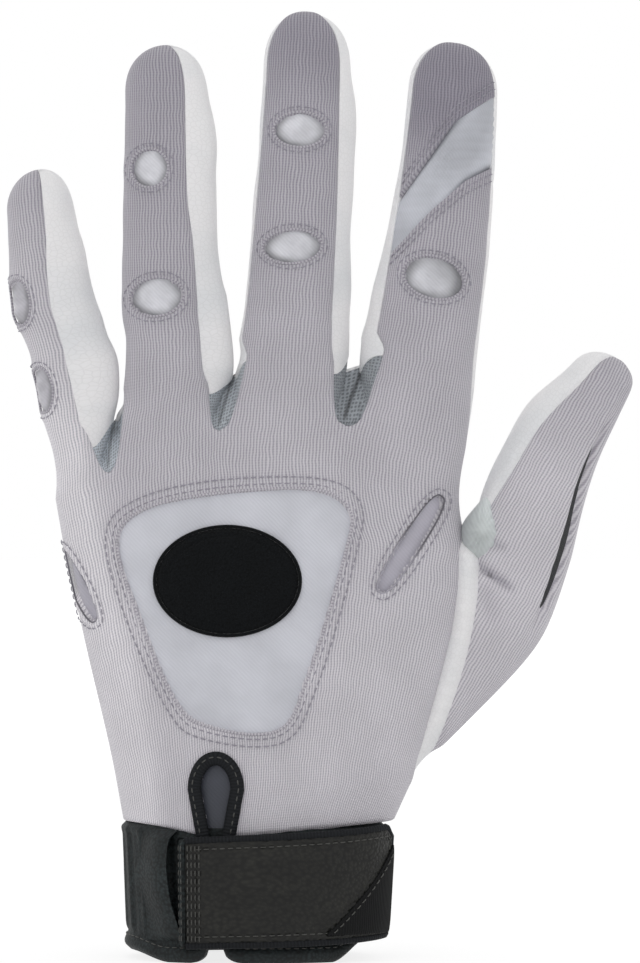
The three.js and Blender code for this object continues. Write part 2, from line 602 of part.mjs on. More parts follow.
// Strap, from the sewn root on the left lobe across the slit to its free end. The loop patch lies
// on the right lobe, the hook patch on the strap's inner face.
const patchSpan = [PATCH_SPAN.from, PATCH_SPAN.to];
const patchEdges = [level(PATCH_SPAN.low), level(PATCH_SPAN.high)];
const loopOut = FIT + PATCH;
const hookIn = loopOut + FIT;
const hookOut = hookIn + PATCH;
const strapIn = hookOut + FIT;
const strapOut = strapIn + STRAP.thick;
const labelIn = strapOut + FIT;
const strapLow = (s) => mix(...STRAP.low, s);
const strapHigh = (s) => mix(...STRAP.high, s);
const rootSpan = [STRAP.from + CUFF_TURN + ANCHOR_TURN, STRAP.from + CUFF_TURN];
const rootEdges = [level(strapLow(0)), level(strapHigh(0))];
const labelSpan = [STRAP.to + LABEL.turn, STRAP.to + LABEL.margin];
const labelLow = strapLow(1) + LABEL.margin;
const labelEdges = [level(labelLow), (s) => labelLow + LABEL.margin + LABEL.height * s];
add("loop_patch", cuffBand(patchSpan, patchEdges, [-loopOut, -FIT], 8, 1), PATCH_BLACK);
add("hook_patch", cuffBand(patchSpan, patchEdges, [-hookOut, -hookIn], 8, 1), PATCH_BLACK);
const strapSpan = [STRAP.from, STRAP.to];
add("strap_tab", cuffBand(strapSpan, [strapLow, strapHigh], [-strapOut, -strapIn], 14, 2), CUFF_BLACK);
add("strap_root", cuffBand(rootSpan, rootEdges, [-strapOut, -FIT], 3, 2), CUFF_BLACK);
const labelOut = labelIn + LABEL.thick;
add("strap_corner_label", cuffBand(labelSpan, labelEdges, [-labelOut, -labelIn], 5, 1), PATCH_BLACK);

// Stand the glove on its cuff, centred over the middle of its box.
glove.rotation.x = Math.PI / 2;
glove.updateMatrixWorld(true);
const box = new THREE.Box3().setFromObject(glove, true);
glove.position.set(-(box.min.x + box.max.x) / 2, -(box.min.y + box.max.y) / 2, -box.min.z);

export default glove;
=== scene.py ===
import math
from functools import partial
from math import pi
from types import SimpleNamespace

import bpy
import numpy as np
from bpy.props import FloatProperty, FloatVectorProperty, PointerProperty
from numpy.linalg import norm
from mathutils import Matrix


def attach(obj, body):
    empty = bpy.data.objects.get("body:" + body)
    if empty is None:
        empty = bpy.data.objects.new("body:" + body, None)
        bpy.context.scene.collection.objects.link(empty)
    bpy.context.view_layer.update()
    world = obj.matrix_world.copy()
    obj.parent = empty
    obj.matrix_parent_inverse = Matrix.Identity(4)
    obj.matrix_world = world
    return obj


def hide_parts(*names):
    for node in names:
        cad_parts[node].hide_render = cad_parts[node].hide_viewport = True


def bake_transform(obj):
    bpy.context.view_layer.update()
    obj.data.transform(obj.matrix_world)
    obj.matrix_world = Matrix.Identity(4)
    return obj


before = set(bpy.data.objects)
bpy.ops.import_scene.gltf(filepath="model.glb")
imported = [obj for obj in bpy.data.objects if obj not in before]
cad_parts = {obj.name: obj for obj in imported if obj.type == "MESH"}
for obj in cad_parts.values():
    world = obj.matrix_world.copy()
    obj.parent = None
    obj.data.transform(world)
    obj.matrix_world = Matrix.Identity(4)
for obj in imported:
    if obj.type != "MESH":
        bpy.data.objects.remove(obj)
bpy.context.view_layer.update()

bl_info = {
    "name": "Tennis glove dressing",
    "version": (1, 0, 0),
    "blender": (4, 5, 0),
    "location": "3D View > Sidebar > Glove",
    "description": "Knit back, leather palm, cuff, strap and stitching over a packed glove",
    "category": "Mesh",
}

# The drawing is in millimetres: x towards the thumb, y towards the fingertips, z out of the back.
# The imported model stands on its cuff, shifted so that its box is centred.
MM = 0.001
SHIFT_X = -12.331079483
SHIFT_Y = 1.385511398

# Hand: edge and depth stations by height
CUFF_HEIGHT = 33
HAND_LEFT = [[33, -35.2], [48, -38], [76, -44.5], [100, -49.5], [112, -51.5]]
HAND_RIGHT = [[33, 29.8], [40, 33], [48, 36.8], [76, 45], [96, 49], [112, 47.8], [122, 46.8]]
HAND_DEPTH = [[33, 19], [50, 18.5], [80, 17], [105, 14], [125, 12]]
HAND_ROUND = 2.3
LOBE_START = 0.62

# Webs between the fingers and the two outer ends of their row, with the height of the wall there at
# the palm and at the back. By web, for the knit's edge to its left and right: the slope, the half
# width of the round bottom below it, and how far the mesh climbs; and how much painted shade darkens the
# mesh.
WEBS = np.array([[-51.5, 110], [-38.2, 116.2], [-12, 126.2], [18.2, 127.4], [46.8, 121]], float)
WEB_RISE = np.array([0, 7.2, 8.2, 8.4, 0], float)
BACK_RISE = np.array([0, 8.4, 9.4, 9.6, 0], float)
WEB_SPREAD = {1: [0.3, 0.2], 2: [0.14, 0.19], 3: [0.16, 0.16]}
WEB_BLUNT = {1: [1.6, 1.6], 2: [1.8, 2.0], 3: [2.4, 2.9]}
WEB_BOWL = 3.0
WEB_CLIMB = {1: [8, 14], 2: [11, 16], 3: [13, 19]}
WEB_SHADE = {1: 0.05, 2: 0.3, 3: 0.55}

# Gap along the thumb's side of the hand: its heights, and the share of the width that it takes from
# the back and from the palm
SLOT = {"from": 41, "to": 100, "ramp": 7}
SLOT_BACK = 0.02
SLOT_STRIP = 0.016

# Fingers: tip, sideways bow, half width and half depth at three stations, curl, and the angles of
# the back's seams and the front's seams round the section
FINGERS = {
    "little": {"tip": [-56.2, 189.5], "bow": -0.3, "wide": [9.2, 9.9, 7.7], "deep": [10.5, 9.2, 7.2],
               "curl": 7, "back": [74, 200], "front": [-6, 200]},
    "ring": {"tip": [-25.2, 219.6], "bow": 0.6, "wide": [11.6, 11.1, 10.2], "deep": [11.5, 9.6, 7.8],
             "curl": 8, "back": [62, 188], "front": [-10, 238]},
    "middle": {"tip": [9.2, 227.8], "bow": 1, "wide": [13.2, 12.1, 10.8], "deep": [12, 10, 8],
               "curl": 9, "back": [42, 156], "front": [-28, 214]},
    "index": {"tip": [44.6, 220.2], "bow": 1.9, "wide": [13.4, 12.6, 11], "deep": [11.8, 9.8, 7.8],
              "curl": 8, "back": [14, 154], "front": [14, 214]},
}
NAMES = list(FINGERS)
FINGER_COLUMNS = 44
SECTION_ROUND = 2.2
# Shares of a digit's length: its rounded tip, and, from the root, where it has its own width and
# section and where its seams stand open and are drawn in; the spacing of its first rows
TIP_SHARE = 0.13
ROOT_FAN = 0.3
ROOT_RIDGE = 0.22
ROOT_OPEN = 0.2
SEAM_OPEN = 0.08
ROOT_ROWS = 0.15
EDGE_ROUND = 9
SIDE_BULGE = 1.0
# By share of a finger's length: how far its left edge is pushed in, and the angle of the knit's
# right seam where it wanders; by height above the root, how far the side leather swells
DENTS = {
    "little": [[0, 0], [0.08, 1.6], [0.15, 2.2], [0.42, 2.2], [0.5, 0.6], [0.57, -1], [0.88, -1], [1, 0]],
    "ring": [[0, 0], [0.08, 0.2], [0.15, 1.4], [0.27, 1.4], [0.33, 0.3], [0.4, 0], [1, 0]],
}
SEAMS = {
    "little": [[0, 78], [0.17, 84], [0.23, 86.5], [0.3, 89], [0.43, 92], [0.68, 90], [0.8, 85], [0.93, 83],
               [1, 83]],
    "ring": [[0, 40], [0.19, 44], [0.3, 47.5], [0.44, 53], [0.52, 57], [0.61, 63.5], [0.72, 65.3], [1, 64]],
}
FLARES = {
    ("little", 1): [[0, 0], [7, 1.2], [14, 3], [19, 4.6], [24, 5.6], [28, 6], [31, 5.6], [35, 4.2],
                    [40, 3.8], [48, 2.7], [60, 2.4], [68, 0.8], [77, 0]],
    ("ring", 1): [[0, 0], [6, 1], [12, 2.6], [17, 4.6], [27, 5], [37, 4.1], [41, 3.1], [46, 2.5],
                  [51, 2.3], [66, 2.8], [75, 4], [84, 4.5], [90, 2], [98, 0]],
    ("middle", 1): [[0, 0], [12, 1.4], [20, 2.3], [30, 2.3], [45, 1.9], [60, 1.7], [70, 2.2], [76, 2.6],
                    [82, 2.8], [88, 1.5], [100, 0]],
    ("index", -1): [[0, 0], [10, 1], [18, 3.2], [22, 3.4], [25, 2.5], [35, 1.9], [40, 1.4], [48, 1],
                    [60, 0.3], [70, 0]],
}
NO_FLARE = [[0, 0], [1, 0]]
# Thumb: both edges by share of its length, half depth, curl, seams and the ends of its root
THUMB = {
    "edges": [[0, 48.6, 95, 36.9, 46], [0.2, 49.6, 106, 54, 63.2], [0.35, 52, 114.5, 65.2, 76.5],
              [0.5, 56, 122.6, 71.9, 94], [0.68, 62, 132.6, 77, 113.6], [0.87, 72.6, 142.4, 85.8, 133.6],
              [1, 77, 148, 90, 140]],
    "deep": [5, 9.4, 6.8], "curl": 6, "back": [-8, 112], "front": [-8, 112],
    "left_turn": [[0, 150], [0.3, 140], [0.6, 126], [0.87, 114], [1, 114]],
    "rise": [0, 0], "back_rise": [0, 0],
    "left": np.array([48.6, 95]), "right": np.array([36.9, 46]), "tip": [83.5, 144],
}

# Openings in the back: centre, half axes and turn in degrees
KNUCKLES = {
    "little": [[-60.2, 157, 2.6, 5.2, 8], [-54.6, 136, 2.6, 5.2, 8]],
    "ring": [[-28.8, 189.2, 4.2, 4.4, 0], [-27, 158.2, 6.2, 4.4, 8]],
    "middle": [[7.2, 198.4, 6, 4, 0], [5.4, 170.2, 6.8, 3.8, 4]],
    "index": [[39.2, 162.8, 7.2, 4.8, -16]],
}
SLITS = {"index": [33.6, 99.2, 2.3, 13.4, -33], "little": [-46.2, 89.4, 1.8, 9.6, 27]}
SLIT_FULL = 0.7
# The way each slit's cloth falls into shadow
SLIT_DARK = {"index": [0.75, 0.65], "little": [-0.9, -0.45]}
WINDOW = [[-36, 100], [-29, 107.5], [-12, 111], [10, 112], [18.8, 107], [17.4, 96], [9, 68], [2, 55.5],
          [-15, 56.5], [-22.5, 63], [-31.5, 84]]
BADGE = [-10, 90.5, 17.2, 12.8, 0]
KEYHOLE = {"centre": [-12.6, 41.2], "wide": 3.9, "high": 6.2, "slit": 1.6, "foot": -12.6}
BAND_TOP = [[20, 168], [29.3, 181], [44.4, 200.9], [54, 206.9], [66, 212]]
BAND_LOW = [[20, 160], [31.2, 171.2], [38.9, 179.2], [46.8, 186], [54, 189.8], [66, 195]]

# Cuff and strap: angles run from the thumb side (0) over the back (90)
CUFF_LEFT = [108, 247]
CUFF_RIGHT = [-66, 100]
CUFF_PALM = [247, 294]
CUFF_EDGES = {"left": [-34, -35.2], "right": [25, 27]}
CUFF_RISE = {"left": 2.2, "right": 5.6}
CUFF_FLAT = [0.62, 0.97]
CUFF_WALL = 2.2
HEM_SEAM = 3.6
FLAP_EDGE = [[4, -18.9], [10, -20.2], [16, -21.6], [22, -22.5], [27, -22.1], [32, -21.2]]
CUFF_TOP = CUFF_HEIGHT - 0.3
CROWN_DIP = 2.7
KNIT_HEM = 5.2
STRAP = {"from": 114, "to": 17, "low": [4.2, 5.8], "high": [29.4, 32.2], "inner": 2.65, "outer": 4.15}
STRAP_LONG = 52
STRAP_HIGH = 25
STRAP_SEAM = 2.3
PATCH = {"from": 80, "to": 26, "low": 8.5, "high": 27}
ELASTIC = {"from": 205, "to": 333, "low": 15, "high": 23}
THUMB_SLIT = {"angle": 39, "half": 10, "from": 0.34, "to": 0.8}
THUMB_PUFF = {"centre": [50.8, 102.8, 2.8], "half": [4.9, 8.0, 6.2], "turn": -12}

# Folds of the thumb and lines of the palm: both ends, depth and width
THUMB_FOLDS = [([48.6, 95.2], [58.6, 88.0], 1.6, 0.9), ([52, 99.6], [57, 98.2], 0.8, 1.0),
               ([50.5, 90], [54, 80], 0.5, 2.0)]
PALM_LINES = [([38, 97], [-12, 84], 0.8, 1.6), ([-12, 84], [-38, 78], 0.6, 1.6),
              ([-44, 101], [8, 110], 0.8, 1.6), ([34, 93], [12, 70], 0.8, 1.6),
              ([12, 70], [6, 44], 0.7, 1.8)]

# Thickness of the cloths, how far a stitch stands off them, and over what distance cloth bends
KNIT_WALL = 1.2
LEATHER_WALL = 1.2
INSERT_WALL = 0.6
STITCH_LIFT = 0.1
BLEND_REACH = 24
THUMB_REACH = 12


def linear(code):
    """sRGB hex value as a linear colour with full opacity."""
    srgb = np.array([code >> 16 & 255, code >> 8 & 255, code & 255]) / 255
    low = srgb / 12.92
    high = ((srgb + 0.055) / 1.055) ** 2.4
    return (*np.where(srgb <= 0.04045, low, high).tolist(), 1.0)


def mix(a, b, t):
    return a + (b - a) * t


def smooth(t):
    """Smoothstep: 0 below 0, 1 above 1, level at both ends."""
    t = np.clip(t, 0, 1)
    return t * t * (3 - 2 * t)


def spline(stations, y):
    """Cubic curve through [position, value] stations with mean slopes, at positions y."""
    at, value = np.array(stations, float).T
    order = np.arange(len(at))
    before = np.maximum(order - 1, 0)
    after = np.minimum(order + 1, len(at) - 1)
    slope = (value[after] - value[before]) / (at[after] - at[before])
    i = np.clip(np.searchsorted(at, y, side="left") - 1, 0, len(at) - 2)
    span = at[i + 1] - at[i]
    t = np.clip((y - at[i]) / span, 0, 1)
    keep = (1 + 2 * t) * (1 - t) ** 2
    rise = t * (1 - t) ** 2 * span * slope[i] + t * t * (t - 1) * span * slope[i + 1]
    return keep * value[i] + (1 - keep) * value[i + 1] + rise


def arch(share, power):
    """Height, 0 to 1, of a superellipse arch at a share of its width."""
    return np.maximum(0, 1 - np.abs(2 * np.clip(share, 0, 1) - 1) ** power) ** (1 / power)


def power_cos(angle, power):
    """Cosine raised to a power with its sign kept: the superellipse's sideways reach."""
    c = np.cos(angle)
    return np.sign(c) * np.abs(c) ** power


def power_sin(angle, power):
    """Sine raised to a power with its sign kept: the superellipse's height."""
    s = np.sin(angle)
    return np.sign(s) * np.abs(s) ** power


def bell(x, middle, width):
    """Bell curve: 1 at its middle, fading out over a width on either side."""
    return np.exp(-((x - middle) / width) ** 2)


def ripple(x, y, size, seed):
    """Soft cloth unevenness between -1 and 1: four crossing sine waves about one size long."""
    turn = seed + np.array([0.3, 1.1, 1.9, 2.7])
    step = 2 * pi / size * np.array([1, 0.83, 1.21, 0.67])
    phase = x[..., None] * np.cos(turn) * step + y[..., None] * np.sin(turn) * step + 5 * turn
    return np.sin(phase).mean(-1)


# Roots of the fingers: widths and shares of the whole row, and what each digit keeps of its own root
ROOT_STEP = np.hypot(*(WEBS[1:] - WEBS[:-1]).T)
ROOT_SHARE = np.concatenate([[0], np.cumsum(ROOT_STEP)]) / ROOT_STEP.sum()
ROOT_WIDTH = ROOT_STEP.sum()
for number, finger in enumerate(FINGERS.values()):
    pair = slice(number, number + 2)
    finger["left"], finger["right"] = WEBS[pair]
    finger.update(rise=WEB_RISE[pair], back_rise=BACK_RISE[pair], webs=(number, number + 1))
DIGITS = {**FINGERS, "thumb": THUMB}
for label, entry in DIGITS.items():
    root = mix(entry["left"], entry["right"], 0.5)
    length = math.dist(root, entry["tip"])
    away = (np.array(entry["tip"]) - root) / length
    entry.update(place=label, root=root, length=length, across=np.array([away[1], -away[0]]))


def three(stations):
    low, middle, high = stations
    return [[0, low], [0.45, middle], [1 - TIP_SHARE, high], [1, high]]


# How each finger leaves its root: sideways and depth change per millimetre of height
LEAN = np.array([
    np.array(d["tip"]) - d["root"] + 4 * d["bow"] * d["across"] for d in FINGERS.values()
])
LEAN_X = LEAN[:, 0] / LEAN[:, 1]
LEAN_Z = np.array([(d["deep"][1] - d["deep"][0]) / 0.45 for d in FINGERS.values()]) / LEAN[:, 1]
WEB_LEAN = np.concatenate([LEAN_X[:1], (LEAN_X[1:] + LEAN_X[:-1]) / 2, LEAN_X[-1:]])
ROOT_DEEP = np.array([d["deep"][0] for d in FINGERS.values()])


def root_ridge(across, rises):
    """Height, 0 to 1, across a finger's root: round at an outer edge, levelling out towards a web."""
    level = np.where(across < 0.5, rises[0], rises[1]) > 0
    return np.where(level, np.abs(np.sin(pi * across)) ** 1.25, arch(across, SECTION_ROUND))


def hand_point(s, t, side):
    """Hand surface: s runs from the little finger's edge to the thumb's, t from the cuff to the finger
    roots. A superellipse by height turns, over the last third, into the leaning ridge of the finger
    above it, so that the two join without a crease."""
    k = np.searchsorted(ROOT_SHARE[1:4], s + 1e-9, side="right")
    across = np.clip((s - ROOT_SHARE[k]) / (ROOT_SHARE[k + 1] - ROOT_SHARE[k]), 0, 1)
    root_x = mix(WEBS[k, 0], WEBS[k + 1, 0], across)
    root_y = mix(WEBS[k, 1], WEBS[k + 1, 1], across)
    y = mix(CUFF_HEIGHT, root_y, t)
    opening = smooth((y - SLOT["from"]) / SLOT["ramp"]) * smooth((SLOT["to"] - y) / SLOT["ramp"])
    share = s * (1 - (SLOT_BACK if side > 0 else SLOT_STRIP) * opening)
    x = mix(spline(HAND_LEFT, y), spline(HAND_RIGHT, y), share)
    z = spline(HAND_DEPTH, y) * arch(share, HAND_ROUND)
    rises = BACK_RISE if side > 0 else WEB_RISE
    ridge = root_ridge(across, (rises[k], rises[k + 1]))
    lobe = mix(mix(rises[k], rises[k + 1], across), ROOT_DEEP[k], ridge)
    edge = np.abs(2 * across - 1) ** 4
    lean = mix(LEAN_X[k], np.where(across < 0.5, WEB_LEAN[k], WEB_LEAN[k + 1]), edge)
    to_root = smooth((t - LOBE_START) / (1 - LOBE_START))
    x = mix(x, root_x + (y - root_y) * lean, to_root)
    z = mix(z, lobe + (y - root_y) * LEAN_Z[k] * ridge, to_root)
    return stacked(x, y, side * z)


def tip_round(v):
    """Share of its width that a digit keeps at v: all of it, then a quarter of a superellipse."""
    end = np.clip((v - 1 + TIP_SHARE) / TIP_SHARE, 0, 1)
    return np.maximum(0, 1 - end ** SECTION_ROUND) ** (1 / SECTION_ROUND)


def digit_frame(digit, v):
    """Centre of a digit at v and the half width towards its right edge, in the hand's plane."""
    if "edges" in digit:
        rows = np.array(digit["edges"], float)
        edge = [spline(rows[:, [0, k]], v) for k in (1, 2, 3, 4)]
        left, right = np.stack(edge[:2], -1), np.stack(edge[2:], -1)
        return (left + right) / 2, (right - left) / 2
    root, across = digit["root"], digit["across"]
    bow = digit["bow"] * 4 * v * (1 - v)
    centre = root + (np.array(digit["tip"]) - root) * v[..., None] + across * bow[..., None]
    straight = across * spline(three(digit["wide"]), v)[..., None]
    half = mix(digit["right"] - root, straight, smooth(v / ROOT_FAN)[..., None])
    if digit["place"] not in DENTS:
        return centre, half
    dent = across * spline(DENTS[digit["place"]], v)[..., None] / 2
    return centre + dent, half - dent


def digit_point(digit, angle, v, depth=0.0):
    """Digit surface: a superellipse section carried along the digit's bowed and curled centre
    line, rounded off over its last share, and sunk by depth. At the root it has the web's wall."""
    angle, v, depth = np.broadcast_arrays(angle, v, np.asarray(depth, float))
    rounded = tip_round(v)
    along = v * (1 - depth / digit["length"])
    centre, half = digit_frame(digit, along)
    width = norm(half, axis=-1)
    reach = np.maximum(0, width * rounded - depth) / width
    deep = np.maximum(0, spline(three(digit["deep"]), along) * rounded - depth)
    cos_e = power_cos(angle, 2 / SECTION_ROUND)
    sin_e = power_sin(angle, 2 / SECTION_ROUND)
    across = (1 + cos_e) / 2
    rise = np.where(sin_e > 0, mix(*digit["back_rise"], across), mix(*digit["rise"], across))
    near = 1 - smooth(along / ROOT_RIDGE)
    wall = np.maximum(0, rise * rounded - depth) * near
    sin_e = np.sign(sin_e) * mix(np.abs(sin_e), root_ridge(across, digit["rise"]), near)
    z = sin_e * deep + np.sign(sin_e) * wall * (1 - np.abs(sin_e)) - digit["curl"] * along ** 2
    flat = centre + half * (reach * cos_e)[..., None]
    return np.concatenate([flat, z[..., None]], -1)


def notch_angle(digit, v, side):
    """Angle that the back's seam keeps from a web: the knit's edge leaves the web in a quarter ellipse,
    slopes straight away from the web's line, and joins the seam higher up. An outer edge keeps none."""
    web = digit["webs"][side > 0]
    if BACK_RISE[web] == 0:
        return np.full_like(v, -pi)
    high = v * digit["length"]
    top = max(WEB_CLIMB[web]) + 1
    spread, blunt = WEB_SPREAD[web][side < 0], WEB_BLUNT[web][side < 0]
    bowl = np.sqrt(1 - (1 - np.clip(high / WEB_BOWL, 0, 1)) ** 2)
    slope = spread * np.minimum(high, top) + blunt * bowl
    centre, half = digit_frame(digit, v)
    edge = WEBS[web] + stacked(WEB_LEAN[web] * high - side * slope, high) - centre
    share = side * np.sum(edge * half, -1) / np.sum(half * half, -1)
    angle = np.arccos(np.clip(share, 0.2, 1) ** (SECTION_ROUND / 2))
    return angle * (1 - smooth((high - top) / 10))


def seam_angles(digit, v):
    """Angles (back right, back left, front right, front left) of the seams at v: they open from
    the root, run to the tip, and keep clear of the notch at each web."""
    opened = smooth(v / ROOT_OPEN)
    right = [math.radians(digit[key][0]) * opened for key in ("back", "front")]
    if digit["place"] in SEAMS:
        right[0] = np.radians(spline(SEAMS[digit["place"]], v)) * opened
    left = [pi + (math.radians(digit[key][1]) - pi) * opened for key in ("back", "front")]
    if "left_turn" in digit:
        left = [pi + (np.radians(spline(digit["left_turn"], v)) - pi) * opened] * 2
    if "webs" in digit:
        right[0] = np.maximum(right[0], notch_angle(digit, v, 1))
        left[0] = np.minimum(left[0], pi - notch_angle(digit, v, -1))
    return right[0], left[0], right[1], left[1]


def cuff_point(angle, y, depth):
    """Cuff surface: a superellipse round the wrist whose two edges run straight with height."""
    up = y / CUFF_HEIGHT
    left, right = mix(*CUFF_EDGES["left"], up), mix(*CUFF_EDGES["right"], up)
    x = (left + right) / 2 + ((right - left) / 2 - depth) * power_cos(angle, 2 / HAND_ROUND)
    z = (HAND_DEPTH[0][1] - depth) * power_sin(angle, 2 / HAND_ROUND)
    return stacked(x, y, z)


def cuff_crown(x):
    """Height of the cuff's upper edge over the back: a bell-shaped dip below the keyhole, steeper
    on the little finger's side."""
    wide = np.where(x < KEYHOLE["centre"][0], 11, 22)
    return CUFF_TOP - CROWN_DIP * bell(x, KEYHOLE["centre"][0], wide)


# Meshes
def grid(columns, rows):
    """Two parameters from 0 to 1 on a grid of that many steps, columns first."""
    return np.meshgrid(np.linspace(0, 1, columns + 1), np.linspace(0, 1, rows + 1))


def round_grid(columns, rows):
    """Two parameters from -1 to 1 on a square grid that is pressed into a disc."""
    s, t = grid(columns, rows)
    a, b = 2 * s - 1, 2 * t - 1
    return a * np.sqrt(1 - b * b / 2), b * np.sqrt(1 - a * a / 2)


def stacked(*parts):
    """Arrays side by side along a new last axis."""
    return np.stack(np.broadcast_arrays(*parts), -1)


def unit(vectors):
    return vectors / np.maximum(norm(vectors, axis=-1, keepdims=True), 1e-9)


def normals(points):
    """Unit normals of a grid of points, from the cross product of its two directions."""
    return unit(np.cross(np.gradient(points, axis=1), np.gradient(points, axis=0)))


def linked(name, data):
    """New object in the scene."""
    made = bpy.data.objects.new(name, data)
    bpy.context.scene.collection.objects.link(made)
    return made


def put(name, wall, cloth, place=None, replaced="", tone=None):
    """Makes a piece of points in drawing millimetres, face index arrays, a map in millimetres and, for
    a wall, its crisp edges, turned so that it encloses a positive volume. tone darkens its finish by
    point, replaced is the solid that it stands for, and place what carries it."""
    points, faces, uv, sharp = (*wall, None)[:4]
    x, y, z = points.T
    world = stacked(x + SHIFT_X, SHIFT_Y - z, y) * MM
    fans = [f[:, [0, i, i + 1]] for f in faces for i in range(1, f.shape[1] - 1)]
    corner = world[np.concatenate(fans)] - world.mean(0)
    volume = np.einsum("ij,ij->i", corner[:, 0], np.cross(corner[:, 1], corner[:, 2])).sum()
    if volume < 0:
        faces = [f[:, ::-1] for f in faces]
    loops = np.concatenate([f.ravel() for f in faces]).astype(np.int32)
    sizes = np.concatenate([np.full(len(f), f.shape[1]) for f in faces])
    starts = np.concatenate([[0], np.cumsum(sizes)[:-1]]).astype(np.int32)
    mesh = bpy.data.meshes.new(name)
    mesh.vertices.add(len(world))
    mesh.vertices.foreach_set("co", world.astype(np.float32).ravel())
    mesh.loops.add(len(loops))
    mesh.loops.foreach_set("vertex_index", loops)
    mesh.polygons.add(len(starts))
    mesh.polygons.foreach_set("loop_start", starts)
    mesh.update(calc_edges=True)
    mesh.polygons.foreach_set("use_smooth", np.ones(len(starts), bool))
    layer = mesh.uv_layers.new(name="cloth")
    layer.data.foreach_set("uv", uv[loops, :2].astype(np.float32).ravel())
    if sharp is not None:
        pairs = np.zeros(2 * len(mesh.edges), np.int64)
        mesh.edges.foreach_get("vertices", pairs)
        key = np.sort(pairs.reshape(-1, 2), axis=1) @ [len(world), 1]
        crisp = np.isin(key, np.sort(sharp, axis=1) @ [len(world), 1])
        mesh.attributes.new("sharp_edge", "BOOLEAN", "EDGE").data.foreach_set("value", crisp)
    if mesh.validate():
        raise RuntimeError(f"{name}: the mesh had faults")
    piece = linked(name, mesh)
    mesh.materials.append(finish(cloth))
    if replaced:
        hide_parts(replaced)
    if tone is not None:
        value = np.broadcast_to(tone, len(world)).astype(np.float32)
        mesh.attributes.new("tone", "FLOAT", "POINT").data.foreach_set("value", value)
    if place:
        carry(piece, place)
    return piece


def shell(outer, inner, uv, pole=False):
    """Closed wall between two grids of points: both faces and a strip along each open edge. With
    pole, the last row of each grid is a single point, and the points that no face uses are dropped.
    Gives points, faces, map and rim edges."""
    rows, columns = outer.shape[:2]
    layer = rows * columns
    index = np.arange(layer).reshape(rows, columns)
    if pole:
        index[-1] = index[-1, 0]
    quad = stacked(index[:-1, :-1], index[:-1, 1:], index[1:, 1:], index[1:, :-1])
    body = (quad[:-1] if pole else quad).reshape(-1, 4)
    edges = [index[0], index[:, -1], index[::-1, 0]] + ([] if pole else [index[-1, ::-1]])
    rims = [stacked(e[1:], e[:-1], e[:-1] + layer, e[1:] + layer) for e in edges]
    faces = [np.concatenate([body, body[:, ::-1] + layer] + rims)]
    if pole:
        cap = quad[-1][:, :3]
        faces.append(np.concatenate([cap, cap[:, ::-1] + layer]))
    pairs = np.concatenate([stacked(e[1:], e[:-1]) for e in edges])
    points = np.concatenate([outer.reshape(-1, 3), inner.reshape(-1, 3)])
    used = np.unique(np.concatenate([f.ravel() for f in faces]))
    number = np.full(len(points), -1)
    number[used] = np.arange(len(used))
    flat = np.tile(uv.reshape(layer, -1), (2, 1))
    pairs = number[np.concatenate([pairs, pairs + layer])]
    return points[used], [number[f] for f in faces], flat[used], pairs


def tube(path, up, radius, sides=8, closed=True, flatten=1.0):
    """Round or flattened cord: a ring of points carried along a path, with up as the surface's
    normal there. An open tube has a cap at each end. Gives points, faces and map."""
    ahead = np.roll(path, -1, 0) - np.roll(path, 1, 0) if closed else np.gradient(path, axis=0)
    ahead = unit(ahead)
    side = unit(np.cross(ahead, up))
    top = np.cross(side, ahead)
    turn = np.linspace(0, 2 * pi, sides, endpoint=False)
    ring = side[:, None] * np.cos(turn)[:, None] + top[:, None] * (np.sin(turn) * flatten)[:, None]
    wide = np.broadcast_to(np.asarray(radius, float), (len(path),))
    points = path[:, None] + ring * wide[:, None, None]
    index = np.arange(len(path) * sides).reshape(len(path), sides)
    nearer = index if closed else index[:-1]
    further = np.roll(index, -1, 0) if closed else index[1:]
    turned = [np.roll(nearer, -1, 1), np.roll(further, -1, 1)]
    faces = [stacked(nearer, turned[0], turned[1], further).reshape(-1, 4)]
    if not closed:
        faces += [index[:1, ::-1], index[-1:]]
    length = np.concatenate([[0], np.cumsum(norm(np.diff(path, axis=0), axis=1))])
    uv = stacked(length[:, None], turn * wide[:, None])
    return points.reshape(-1, 3), faces, uv.reshape(-1, 2)


def stitches(path, up, closed=False):
    """Row of stitches along a path: one short rod with drawn-in ends per pitch, lying on the
    surface whose normal is up. Gives points, faces and map."""
    sizes = millimetres()
    if closed:
        path, up = np.concatenate([path, path[:1]]), np.concatenate([up, up[:1]])
    reach = np.concatenate([[0], np.cumsum(norm(np.diff(path, axis=0), axis=1))])
    count = max(1, int(reach[-1] / sizes.stitch_pitch))
    station = np.array([-0.5, -0.42, 0, 0.42, 0.5]) * sizes.stitch_length
    slim = np.array([0.35, 0.85, 1, 0.85, 0.35]) * sizes.thread_radius
    sink = np.array([-1.2, -0.2, 0.4, -0.2, -1.2]) * sizes.thread_radius + STITCH_LIFT
    at = (np.arange(count)[:, None] + 0.5) * (reach[-1] / count) + station
    line, rise = (np.stack([np.interp(at, reach, axis) for axis in curve.T], -1) for curve in (path, up))
    side = unit(np.cross(unit(line[:, -1:] - line[:, :1]), rise))
    turn = np.linspace(0, 2 * pi, 6, endpoint=False)
    ring = side[..., None, :] * np.cos(turn)[:, None] + rise[..., None, :] * np.sin(turn)[:, None]
    rods = (line + rise * sink[:, None])[..., None, :] + ring * slim[:, None, None]
    index = np.arange(rods[..., 0].size).reshape(rods.shape[:3])
    near, far = index[:, :-1], index[:, 1:]
    quads = stacked(near, np.roll(near, -1, 2), np.roll(far, -1, 2), far).reshape(-1, 4)
    caps = np.concatenate([index[:, 0, ::-1], index[:, -1]])
    uv = stacked(station[:, None], turn)
    uv = np.broadcast_to(uv, rods.shape[:3] + (2,)).reshape(-1, 2)
    return rods.reshape(-1, 3), [quads, caps], uv


